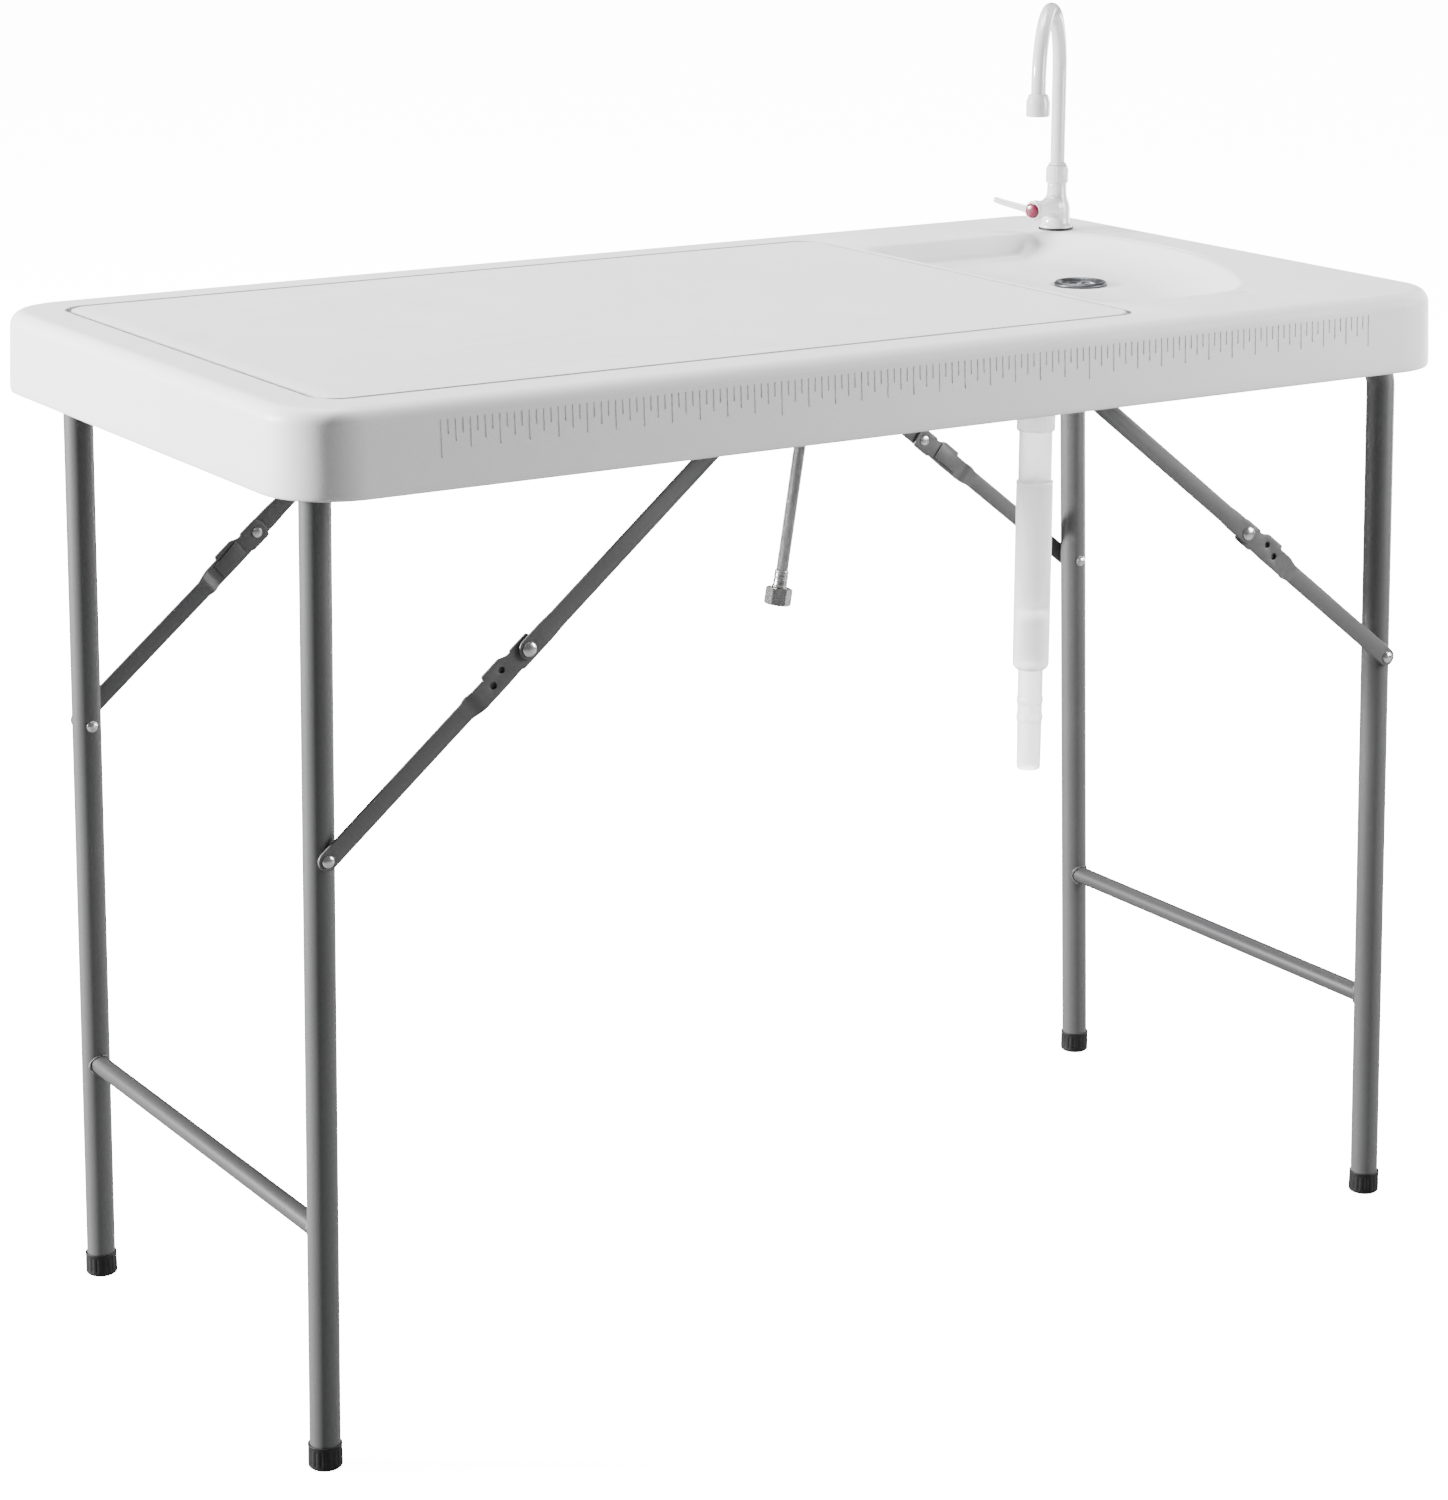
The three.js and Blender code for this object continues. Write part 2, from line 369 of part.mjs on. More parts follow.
// -------------------------------------------------------------------- faucet
const T0 = TOP_Z;
add('faucet_gasket', tidy(plate(circle(0, 0, 17, 24), T0 + 0.3, T0 + 1.6, [circle(0, 0, 11, 24)])), RUBBER()).position.set(FAUCET.x, FAUCET.y, 0);
let body = solid(turned([[0, 838], [9.2, 838], [10, 840], [10, T0 + 1.9], [16.2, T0 + 1.9], [16.4, T0 + 4.6], [13.6, T0 + 7], [13.3, T0 + 20], [12.6, T0 + 25], [9.9, T0 + 31], [9.3, T0 + 45.2], [0, T0 + 45.2]], 20));
{
  const hub = turned([[0, 0], [9.6, 0], [9.2, 14], [8, 20], [8, 36.5], [0, 36.5]], 16);
  hub.rotateY(Math.PI / 2);
  hub.rotateZ(Math.atan2(HUB_DIR.y, HUB_DIR.x));
  hub.translate(0, 0, HUB_Z);
  body = body.add(solid(hub));
}
add('faucet_body', geometry(body), ABS()).position.set(FAUCET.x, FAUCET.y, 0);
add('faucet_collar', tidy(turned([[7.2, T0 + 45.5], [10.4, T0 + 45.5], [10.9, T0 + 47], [10.9, T0 + 60], [9.6, T0 + 62.5], [7.2, T0 + 62.5], [7.2, T0 + 45.5]], 16)), ABS()).position.set(FAUCET.x, FAUCET.y, 0);
{
  const r = SPOUT_REACH / 2, zc = SPOUT_TOP - r, pts = [new THREE.Vector3(0, 0, T0 + 45.6), new THREE.Vector3(0, 0, zc)];
  for (let i = 1; i <= 10; i++) { const t = (Math.PI * i) / 10; pts.push(new THREE.Vector3(SPOUT_DIR.x * r * (1 - Math.cos(t)), SPOUT_DIR.y * r * (1 - Math.cos(t)), zc + r * Math.sin(t))); }
  pts.push(new THREE.Vector3(SPOUT_DIR.x * 2 * r, SPOUT_DIR.y * 2 * r, 1027));
  add('faucet_spout', tidy(tube(pts, SPOUT_R, 10, 4.6)), ABS()).position.set(FAUCET.x, FAUCET.y, 0);
  add('faucet_aerator', tidy(turned([[6, 1006.3], [10.6, 1006.3], [11.2, 1007.5], [11.2, 1021], [9.4, 1026.6], [4.6, 1026.6], [4.6, 1020], [6, 1018], [6, 1006.3]], 16)), ABS())
    .position.set(FAUCET.x + SPOUT_DIR.x * 2 * r, FAUCET.y + SPOUT_DIR.y * 2 * r, 0);
}
{
  // lever: cup on the valve stem with a slim handle; local +X is the hub axis
  const cup = turned([[0, 36.8], [9.2, 36.8], [9.6, 38], [9.6, 44.6], [8.6, 45.6], [0, 45.6]], 16);
  cup.rotateY(Math.PI / 2);
  const up = 0.13, dir = new THREE.Vector3(0, Math.cos(up), Math.sin(up));
  const stick = tube([dir.clone().multiplyScalar(6), dir.clone().multiplyScalar(22), dir.clone().multiplyScalar(40), dir.clone().multiplyScalar(47)], 3.1, 10);
  stick.translate(41, 0, 0);
  const lever = geometry(solid(cup).add(solid(stick)));
  lever.applyMatrix4(new THREE.Matrix4().set(HUB_DIR.x, HUB_DIR.y, 0, 0, HUB_DIR.y, -HUB_DIR.x, 0, 0, 0, 0, 1, 0, 0, 0, 0, 1));
  add('faucet_lever', tidy(lever), ABS()).position.set(FAUCET.x, FAUCET.y, HUB_Z);
  const dot = turned([[0, 45.9], [6.9, 45.9], [6.6, 47.2], [4.4, 48], [0, 48.3]], 16);
  dot.rotateY(Math.PI / 2);
  dot.rotateZ(Math.atan2(HUB_DIR.y, HUB_DIR.x));
  add('faucet_indicator', tidy(dot), RED()).position.set(FAUCET.x, FAUCET.y, HUB_Z);
}
add('faucet_shank_nut', tidy(plate(circle(0, 0, 16.5, 6), TOP_Z - PANEL - 10.5, TOP_Z - PANEL - 0.3, [circle(0, 0, 10.3, 20)])), ABS()).position.set(FAUCET.x, FAUCET.y, 0);

// --------------------------------------------------------------- supply hose
// Route in (x, z): down from the faucet, a hanging loop, up and over the clip
// behind the sink, then down to the free end.
const ROUTE = [];
{
  const fx = FAUCET.x, R1 = 55, zA = 772, R2 = 60, R3 = 70, zc = 861.5, xc = 300;
  let g = 1.1;
  for (let i = 0; i < 60; i++) g = Math.atan2(zc - R2 * (1 - Math.cos(g)) - (zA - R1 * Math.cos(g)), fx - R1 - R1 * Math.sin(g) - (xc + R2 * Math.sin(g)));
  const xz = [[fx, 799.2], [fx, 786], [fx, zA]];
  const n1 = 11;
  for (let i = 1; i <= n1; i++) { const t = ((Math.PI / 2 + g) * i) / n1; xz.push([fx - R1 + R1 * Math.cos(t), zA - R1 * Math.sin(t)]); }
  xz.push([(fx - R1 - R1 * Math.sin(g) + xc + R2 * Math.sin(g)) / 2, (zA - R1 * Math.cos(g) + zc - R2 * (1 - Math.cos(g))) / 2]);
  for (let i = 0; i <= 6; i++) { const t = g * (1 - i / 6); xz.push([xc + R2 * Math.sin(t), zc - R2 * (1 - Math.cos(t))]); }
  const turn = THREE.MathUtils.degToRad(80.65), xs = xc - 8;
  for (let i = 0; i <= 7; i++) { const t = (turn * i) / 7; xz.push([xs - R3 * Math.sin(t), zc - R3 * (1 - Math.cos(t))]); }
  const [xe, ze] = xz[xz.length - 1], ux = -Math.cos(turn) , uz = -Math.sin(turn);
  const run = (ze - 575.5) / -uz;
  for (let i = 1; i <= 6; i++) xz.push([xe + (ux * run * i) / 6, ze + (uz * run * i) / 6]);
  const ease = (x) => { const t = THREE.MathUtils.clamp((fx - x) / 110, 0, 1); return t * t * (3 - 2 * t); };
  for (const [x, z] of xz) ROUTE.push(new THREE.Vector3(x, FAUCET.y + (HOSE_Y - FAUCET.y) * ease(x), z));
}
add('supply_hose', tidy(tube(ROUTE, HOSE_R, 8)), STEEL());
{
  const end = ROUTE[ROUTE.length - 1], dir = end.clone().sub(ROUTE[ROUTE.length - 2]).normalize();
  const turnTo = (m) => { m.quaternion.setFromUnitVectors(new THREE.Vector3(0, 0, -1), dir); m.position.copy(end); return m; };
  turnTo(add('hose_ferrule', tidy(turned([[0, -17.3], [7.6, -17.3], [7.6, -15.6], [6.9, -14.8], [6.9, -1.6], [6.5, -0.3], [0, -0.3]], 16)), STEEL()));
  turnTo(add('hose_nut', tidy(plate(circle(0, 0, 13.2, 6), -34.4, -17.6, [circle(0, 0, 8.6, 16)])), STEEL()));
  add('hose_coupling', tidy(turned([[0, 799.5], [6.5, 799.5], [7, 801], [7, 814.6], [12.6, 815.4], [12.6, 837.2], [0, 837.2]], 12)), STEEL())
    .position.set(FAUCET.x, FAUCET.y, 0);
  const zc = 861.5, zt = TOP_Z - PANEL - 0.3 - zc;
  const ring = [];
  for (let i = 0; i <= 16; i++) { const t = Math.PI / 2 + 0.42 + ((2 * Math.PI - 0.84) * i) / 16; ring.push(V2(8.7 * Math.cos(t), 8.7 * Math.sin(t))); }
  const clip = plate([...ring, V2(3.55, zt - 2), V2(11, zt - 2), V2(11, zt), V2(-11, zt), V2(-11, zt - 2), V2(-3.55, zt - 2)], -6, 6, [circle(0, 0, 6.7, 16)]);
  clip.applyMatrix4(new THREE.Matrix4().set(0, 0, 1, 0, 1, 0, 0, 0, 0, 1, 0, 0, 0, 0, 0, 1));
  add('hose_clip', tidy(clip), STEEL()).position.set(298, HOSE_Y, zc);
}

export default group;
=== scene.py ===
import math
import bpy
import bmesh
import numpy as np
from mathutils import Matrix, Vector
from mathutils.geometry import delaunay_2d_cdt


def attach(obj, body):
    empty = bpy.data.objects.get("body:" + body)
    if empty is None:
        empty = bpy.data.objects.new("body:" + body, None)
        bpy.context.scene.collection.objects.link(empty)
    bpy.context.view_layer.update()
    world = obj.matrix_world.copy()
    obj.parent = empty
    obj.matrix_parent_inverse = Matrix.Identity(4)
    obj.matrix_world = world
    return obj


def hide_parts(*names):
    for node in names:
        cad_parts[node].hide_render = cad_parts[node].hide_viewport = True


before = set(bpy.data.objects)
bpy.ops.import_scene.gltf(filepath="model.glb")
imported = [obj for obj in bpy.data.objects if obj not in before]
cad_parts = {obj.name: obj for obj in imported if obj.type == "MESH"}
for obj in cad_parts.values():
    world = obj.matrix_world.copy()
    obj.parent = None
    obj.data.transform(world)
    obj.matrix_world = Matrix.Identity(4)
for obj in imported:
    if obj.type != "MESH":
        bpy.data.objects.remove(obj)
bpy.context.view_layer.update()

OX = -8.8            # the row's origin is 8.8 mm from the middle of the tabletop; shapes below are in mm from that middle


def row(p):
    return Vector(((p[0] + OX) / 1000, p[1] / 1000, p[2] / 1000))


# ------------------------------------------------------------------ camera
cam_data = bpy.data.cameras.new("camera")
cam = bpy.data.objects.new("camera", cam_data)
bpy.context.scene.collection.objects.link(cam)
cam.location = row((-1756.4, -2801.9, 1405.5))
cam.rotation_mode = "QUATERNION"
cam.rotation_quaternion = Vector((0.50929, 0.81640, -0.27183)).to_track_quat("-Z", "Y")
cam_data.sensor_width = 36
cam_data.lens = 91.21
cam_data.clip_start, cam_data.clip_end = 0.1, 100
bpy.context.scene.camera = cam

# -------------------------------------------------------------- dimensions
HX, HY = 571.5, 305.0
TOP_Z, SKIRT_Z, WALL, PANEL = 883.0, 814.0, 5.0, 6.0
CORNER_R, EDGE_R, DRAFT = 62.0, 12.0, 3.5
SINK_Z = 863.0
LEG_Y, TUBE_R, BORE = 230.8, 12.7, 11.4
SPREADER_R = 8.5
STRAP_T, STRAP_HALF, LOCK_HALF, HOLE_R, PIN_R = 2.5, 8.2, 9.8, 3.3, 3.0
LOWER_Y, JOGGLE_Y = 245.4, 2.9
UPPER_Y = LOWER_Y + JOGGLE_Y + STRAP_T + 0.3
RAIL_Y = UPPER_Y + STRAP_T + 0.4
RAIL_L, RAIL_Z0, RAIL_Z1 = 455.0, 863.5, 876.7
DRAIN_X, PIPE_X = 381.0, 333.5
FX, FY = 497.0, 194.0
SIDES = {
    "left": dict(sg=-1, foot=536.0, splay=0.0202, px=536 - 0.0202 * 854, pz=854.0, spreader=203.9, rivet=518.9, brace=39.66),
    "right": dict(sg=1, foot=575.0, splay=0.034, px=524.0, pz=848.5, spreader=198.3, rivet=536.3, brace=38.23),
}
for s in SIDES.values():
    ln = math.hypot(s["splay"], 1)
    s["tilt"] = math.atan(s["splay"])
    s["off"] = (s["foot"] - s["px"]) / ln - s["pz"] * s["splay"] / ln
    s["level"] = s["pz"] - s["off"]
    D = (s["foot"] - s["splay"] * s["rivet"], s["rivet"])
    along = (D[0] - s["px"]) * s["splay"] / ln - (D[1] - s["pz"]) / ln
    a = math.radians(s["brace"])
    total = (s["level"] - D[1]) / math.sin(a)
    dif = total * math.cos(a) - (D[0] - (s["px"] - along))
    s["lower"], s["upper"], s["a"], s["D"] = (total - dif) / 2, (total + dif) / 2, a, D
    s["B"] = (D[0] - total * math.cos(a), s["level"])
    s["C"] = (D[0] - s["lower"] * math.cos(a), D[1] + s["lower"] * math.sin(a))


# --------------------------------------------------------------- materials
class Paint:
    """A Principled material with a few helpers for procedural detail in object space."""

    def __init__(self, name, color, rough, metal=0.0, **sockets):
        self.m = bpy.data.materials.new(name)
        self.m.use_nodes = True
        self.t = self.m.node_tree
        self.b = self.t.nodes["Principled BSDF"]
        self.b.inputs["Base Color"].default_value = (*color, 1)
        self.b.inputs["Roughness"].default_value = rough
        self.b.inputs["Metallic"].default_value = metal
        for k, v in sockets.items():
            self.b.inputs[k.replace("_", " ")].default_value = v
        self.color, self.rough = color, rough
        self.where = self.t.nodes.new("ShaderNodeTexCoord").outputs["Object"]
        self.normal = None

    def new(self, kind, **kw):
        n = self.t.nodes.new(kind)
        for k, v in kw.items():
            setattr(n, k, v)
        return n

    def link(self, a, b):
        self.t.links.new(a, b)

    def scaled(self, sx, sy, sz, source=None):
        n = self.new("ShaderNodeMapping")
        n.inputs["Scale"].default_value = (sx, sy, sz)
        self.link(source or self.where, n.inputs["Vector"])
        return n.outputs["Vector"]

    def noise(self, scale, detail=2.0, rough=0.5, vector=None):
        n = self.new("ShaderNodeTexNoise")
        n.inputs["Scale"].default_value = scale
        n.inputs["Detail"].default_value = detail
        n.inputs["Roughness"].default_value = rough
        self.link(vector or self.where, n.inputs["Vector"])
        return n.outputs["Fac"]

    def cells(self, scale, feature="F1", vector=None):
        n = self.new("ShaderNodeTexVoronoi", feature=feature)
        n.inputs["Scale"].default_value = scale
        self.link(vector or self.where, n.inputs["Vector"])
        return n.outputs["Distance"]

    def ramp(self, value, lo, hi, a=0.0, b=1.0):
        n = self.new("ShaderNodeMapRange", clamp=True)
        for k, v in zip(("From Min", "From Max", "To Min", "To Max"), (lo, hi, a, b)):
            n.inputs[k].default_value = v
        self.link(value, n.inputs["Value"])
        return n.outputs["Result"]

    def math(self, op, a, b=None):
        n = self.new("ShaderNodeMath", operation=op)
        for i, v in enumerate((a, b)):
            if v is None:
                continue
            if isinstance(v, (int, float)):
                n.inputs[i].default_value = v
            else:
                self.link(v, n.inputs[i])
        return n.outputs[0]

    def mix(self, fac, a, b):
        n = self.new("ShaderNodeMix", data_type="RGBA")
        self.link(fac, n.inputs[0])
        for i, v in ((6, a), (7, b)):
            if isinstance(v, tuple):
                n.inputs[i].default_value = (*v, 1)
            else:
                self.link(v, n.inputs[i])
        return n.outputs[2]

    def tint(self, fac, a, b):
        out = self.mix(fac, a, b)
        self.link(out, self.b.inputs["Base Color"])
        return out

    def roughness(self, value):
        self.link(value, self.b.inputs["Roughness"])

    def bump(self, height, strength, distance):
        n = self.new("ShaderNodeBump")
        n.inputs["Strength"].default_value = strength
        n.inputs["Distance"].default_value = distance
        self.link(height, n.inputs["Height"])
        if self.normal:
            self.link(self.normal, n.inputs["Normal"])
        self.normal = n.outputs["Normal"]
        self.link(self.normal, self.b.inputs["Normal"])

    def split(self, axis, source=None):
        n = self.new("ShaderNodeSeparateXYZ")
        self.link(source or self.where, n.inputs[0])
        return n.outputs[axis]


def shade(c, k):
    return tuple(min(1.0, x * k) for x in c)


def moulded(name="moulded_polyethylene", dim=1.0):
    c = shade((0.775, 0.777, 0.78), dim)
    p = Paint(name, c, 0.46, Specular_IOR_Level=0.45)
    cloud = p.noise(2.6, 3.0, 0.55)
    fine = p.noise(46, 4.0, 0.6)
    first = p.mix(p.ramp(cloud, 0.3, 0.7), shade(c, 0.965), shade(c, 1.02))
    p.tint(p.ramp(fine, 0.35, 0.75, 0, 0.35), first, shade(c, 0.955))
    scuff = p.noise(1.0, 5.0, 0.7, p.scaled(14, 160, 160))
    p.roughness(p.math("ADD", p.ramp(scuff, 0.42, 0.72, 0.40, 0.56), p.ramp(p.cells(1150), 0.0, 0.5, -0.03, 0.03)))
    p.bump(p.noise(26, 2.0), 0.10, 0.002)
    p.bump(p.cells(820, "SMOOTH_F1"), 0.28, 0.00022)
    p.bump(p.noise(2300, 2.0), 0.16, 0.00012)
    return p.m


def powder(name, c, extra=0.0):
    p = Paint(name, c, 0.42, 0.0, Specular_IOR_Level=0.5)
    speck = p.noise(1500, 2.0, 0.6)
    cloud = p.noise(9, 3.0)
    first = p.mix(p.ramp(cloud, 0.3, 0.7), shade(c, 0.92), shade(c, 1.08))
    p.tint(p.ramp(speck, 0.5, 0.8), first, shade(c, 1.18))
    p.roughness(p.ramp(p.noise(420, 3.0), 0.3, 0.7, 0.38, 0.46))
    p.bump(p.noise(900, 2.0), 0.10, 0.00012)
    p.bump(p.cells(1700), 0.06, 0.00006)
    if extra:
        p.bump(p.noise(900, 4.0, 0.7), extra, 0.0006)
    return p.m


def zinc(name, c=(0.70, 0.70, 0.71), rough=0.2, scratch=0.1):
    p = Paint(name, c, rough, 1.0)
    n = p.noise(900, 3.0, 0.6)
    p.tint(p.ramp(p.noise(300, 2.0), 0.3, 0.7), shade(c, 0.86), shade(c, 1.08))
    p.roughness(p.ramp(n, 0.3, 0.7, rough * 0.7, rough * 1.5))
    p.bump(p.noise(2200, 2.0), scratch, 0.00008)
    p.bump(p.noise(260, 1.0), scratch * 1.2, 0.0004)
    return p.m


def rubber():
    c = (0.0045, 0.0045, 0.005)
    p = Paint("moulded_rubber", c, 0.5, 0.0, Specular_IOR_Level=0.3)
    p.tint(p.ramp(p.noise(120, 4.0, 0.65), 0.35, 0.8), c, (0.013, 0.013, 0.0135))
    p.roughness(p.ramp(p.noise(500, 3.0), 0.3, 0.7, 0.42, 0.62))
    p.bump(p.noise(1400, 3.0), 0.2, 0.00018)
    return p.m


def translucent():
    c = (0.955, 0.957, 0.96)
    p = Paint("natural_polyethylene", c, 0.38, 0.0, Specular_IOR_Level=0.45)
    p.b.inputs["Transmission Weight"].default_value = 0.62
    p.b.inputs["Subsurface Weight"].default_value = 0.15
    p.b.inputs["Subsurface Radius"].default_value = (0.006, 0.006, 0.006)
    p.b.inputs["IOR"].default_value = 1.35
    p.tint(p.ramp(p.noise(1.0, 3.0, 0.6, p.scaled(40, 40, 9)), 0.3, 0.7), shade(c, 0.96), shade(c, 1.02))
    p.roughness(p.ramp(p.noise(220, 2.0), 0.3, 0.7, 0.32, 0.46))
    ring = p.math("SINE", p.math("MULTIPLY", p.split(2), 5200.0))
    p.bump(ring, 0.05, 0.00008)
    p.bump(p.noise(150, 2.0), 0.12, 0.0006)
    return p.m


def gloss_white():
    c = (0.63, 0.63, 0.627)
    p = Paint("gloss_plastic", c, 0.16, 0.0, Specular_IOR_Level=0.55)
    p.b.inputs["Coat Weight"].default_value = 0.35
    p.b.inputs["Coat Roughness"].default_value = 0.06
    p.tint(p.ramp(p.noise(30, 2.0), 0.3, 0.7), shade(c, 0.975), shade(c, 1.02))
    p.roughness(p.ramp(p.noise(160, 3.0), 0.3, 0.7, 0.12, 0.22))
    p.bump(p.noise(240, 1.0), 0.05, 0.0005)
    return p.m


def crimson():
    c = (0.135, 0.004, 0.026)
    p = Paint("crimson_plastic", c, 0.3, 0.0)
    p.b.inputs["Coat Weight"].default_value = 0.15
    p.b.inputs["Coat Roughness"].default_value = 0.08
    p.tint(p.ramp(p.noise(400, 2.0), 0.3, 0.7), shade(c, 0.9), shade(c, 1.08))
    p.bump(p.noise(700, 2.0), 0.08, 0.0001)
    return p.m


def braid():
    c = (0.33, 0.333, 0.34)
    p = Paint("woven_steel", c, 0.34, 1.0)
    uv = p.new("ShaderNodeUVMap").outputs["UV"]
    across = p.split(0, uv)
    wire = p.math("SINE", p.math("MULTIPLY", across, 2 * math.pi * 4))
    # painted shade and highlight: the colour darkens in the gaps between the wires and lightens on their crests; the
    # same wave also bumps the surface
    p.tint(p.ramp(wire, -1.0, 1.0), shade(c, 0.35), shade(c, 1.2))
    p.roughness(p.ramp(p.noise(900, 2.0), 0.3, 0.7, 0.28, 0.44))
    p.bump(wire, 0.6, 0.0002)
    return p.m


def dark_sleeve():
    c = (0.05, 0.05, 0.052)
    p = Paint("hose_core", c, 0.6)
    p.tint(p.ramp(p.noise(200, 2.0), 0.3, 0.7), shade(c, 0.7), shade(c, 1.4))
    p.bump(p.noise(900, 2.0), 0.2, 0.0002)
    return p.m


HDPE = moulded()
# the same plastic at half brightness: painted shade for the walls and floor of the panel groove
HDPE_GROOVE_PAINTED_SHADE = moulded("moulded_polyethylene_groove_painted_shade", 0.5)
COAT = powder("powder_coat", (0.082, 0.082, 0.084))
WELD = powder("powder_coat_weld", (0.080, 0.080, 0.082), 0.5)
# the legs' powder coat at about half brightness, used on the spreader bars: painted shade
BAR_COAT_PAINTED_SHADE = powder("powder_coat_bar_painted_shade", (0.043, 0.043, 0.044))
ZINC = zinc("bright_zinc")
CHROME = zinc("polished_chrome", (0.115, 0.12, 0.125), 0.36, 0.05)
NICKEL = zinc("nickel_plate", (0.56, 0.56, 0.555), 0.22, 0.07)
RUBBER = rubber()
PE = translucent()
ABS = gloss_white()
RED = crimson()
BRAID = braid()
CORE = dark_sleeve()


# ------------------------------------------------------------ mesh helpers
class Mesh:
    """Collects faces in mm; turned into one object by put()."""

    def __init__(self):
        self.v, self.f, self.uv, self.mi = [], [], {}, []

    def add(self, verts, faces, mat=0, uv=None):
        k, n = len(self.v), len(self.f)
        self.v.extend([tuple(map(float, p)) for p in verts])
        self.f.extend([tuple(i + k for i in f) for f in faces])
        self.mi.extend([mat] * len(faces))
        if uv is not None:
            for j, c in enumerate(uv):
                self.uv[n + j] = c
        return self

    def moved(self, m):
        self.v = [tuple(m @ Vector(p)) for p in self.v]
        return self

    def join(self, other, m=None, mat=None):
        v = other.v if m is None else [tuple(m @ Vector(p)) for p in other.v]
        k = len(self.v)
        n = len(self.f)
        self.v.extend(v)
        self.f.extend([tuple(i + k for i in f) for f in other.f])
        self.mi.extend(other.mi if mat is None else [mat] * len(other.f))
        for j, c in other.uv.items():
            self.uv[n + j] = c
        return self


def put(name, mesh, mats, body, nodes=(), sharp=32.0, weld=0.002, flip=True):
    me = bpy.data.meshes.new(name)
    bm = bmesh.new()
    layer = bm.loops.layers.uv.new("UVMap") if mesh.uv else None
    vs = [bm.verts.new(row(p)) for p in mesh.v]
    for j, f in enumerate(mesh.f):
        if len(set(f)) < 3:
            continue
        try:
            face = bm.faces.new([vs[i] for i in f])
        except ValueError:
            continue
        face.material_index = mesh.mi[j]
        face.smooth = True
        if layer and j in mesh.uv:
            for lp, c in zip(face.loops, mesh.uv[j]):
                lp[layer].uv = c
    if weld:
        bmesh.ops.remove_doubles(bm, verts=bm.verts, dist=weld / 1000)
    bmesh.ops.dissolve_degenerate(bm, edges=bm.edges, dist=1e-7)
    if flip:
        bmesh.ops.recalc_face_normals(bm, faces=bm.faces)
    limit = math.radians(sharp)
    for e in bm.edges:
        if len(e.link_faces) == 2 and e.calc_face_angle(0.0) > limit:
            e.smooth = False
    bm.to_mesh(me)
    bm.free()
    ob = bpy.data.objects.new(name, me)
    bpy.context.scene.collection.objects.link(ob)
    for m in mats if isinstance(mats, (list, tuple)) else [mats]:
        me.materials.append(m)
    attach(ob, body)
    if nodes:
        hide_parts(*nodes)
    return ob


def rounded(points, radii, steps=4, closed=False):
    """A 2-D polyline with its corners rounded."""
    P = [np.array(p, float) for p in points]
    n, out = len(P), []
    for i, p in enumerate(P):
        r = radii[i] if hasattr(radii, "__len__") else radii
        if (not closed and i in (0, n - 1)) or r <= 0:
            out.append(tuple(p))
            continue
        a, b = P[i - 1] - p, P[(i + 1) % n] - p
        la, lb = np.linalg.norm(a), np.linalg.norm(b)
        a, b = a / la, b / lb
        ang = math.acos(max(-1, min(1, float(a @ b))))
        if ang > math.pi - 0.03 or ang < 0.03:
            out.append(tuple(p))
            continue
        t = min(r / math.tan(ang / 2), la * 0.49, lb * 0.49)
        rr = t * math.tan(ang / 2)
        c = p + (a + b) / np.linalg.norm(a + b) * rr / math.sin(ang / 2)
        v0, v1 = p + a * t - c, p + b * t - c
        w = math.acos(max(-1, min(1, float(v0 @ v1) / rr / rr)))
        for k in range(steps + 1):
            q = k / steps
            out.append(tuple(c + (math.sin((1 - q) * w) * v0 + math.sin(q * w) * v1) / math.sin(w)))
    return out


def lathe(profile, sides=48, closed=True, mod=None, arc=None, mat=0):
    """Turned about local Z from (r, z) pairs; mod(angle, r, z) gives the radius."""
    m = Mesh()
    n = sides if arc is None else sides + 1
    span = 2 * math.pi if arc is None else arc
    for r, z in profile:
        for i in range(n):
            t = span * i / sides
            q = mod(t, r, z) if mod and r > 0 else r
            m.v.append((q * math.cos(t), q * math.sin(t), z))
    rings = len(profile)
    for k in range(rings if closed else rings - 1):
        k2 = (k + 1) % rings
        for i in range(sides):
            i2 = (i + 1) % n if arc is None else i + 1
            m.f.append((k * n + i, k * n + i2, k2 * n + i2, k2 * n + i))
            m.mi.append(mat)
    return m


def aim(direction, at=(0, 0, 0), twist=0.0):
    """Matrix that turns local +Z to direction and moves to at."""
    q = Vector(direction).normalized().to_track_quat("Z", "Y")
    return Matrix.Translation(Vector(at)) @ q.to_matrix().to_4x4() @ Matrix.Rotation(twist, 4, "Z")


def inside(p, loops):
    hit = False
    x, y = p
    for L in loops:
        n = len(L)
        j = n - 1
        for i in range(n):
            xi, yi = L[i]
            xj, yj = L[j]
            if (yi > y) != (yj > y) and x < (xj - xi) * (y - yi) / (yj - yi) + xi:
                hit = not hit
            j = i
    return hit


def fill(loops, lines=(), keep=None):
    """Triangles of the area inside the loops, even-odd, with extra lines in it."""
    vs, es = [], []
    for L in loops:
        k = len(vs)
        vs.extend(Vector(p) for p in L)
        es.extend((k + i, k + (i + 1) % len(L)) for i in range(len(L)))
    for L in lines:
        k = len(vs)
        vs.extend(Vector(p) for p in L)
        es.extend((k + i, k + i + 1) for i in range(len(L) - 1))
    ov, oe, of = delaunay_2d_cdt(vs, es, [], 0, 1e-5, False)[:3]
    P = np.array([[*v] for v in ov])
    T = np.array([list(f) for f in of], int)
    cen = P[T].mean(1)
    # even-odd test for all centroids together
    hit = np.zeros(len(T), bool)
    for L in loops:
        A = np.array(L, float)
        B = np.roll(A, -1, 0)
        for (xa, ya), (xb, yb) in zip(A, B):
            if ya == yb:
                continue
            m = (ya > cen[:, 1]) != (yb > cen[:, 1])
            hit ^= m & (cen[:, 0] < (xb - xa) * (cen[:, 1] - ya) / (yb - ya) + xa)
    return P, T[hit]


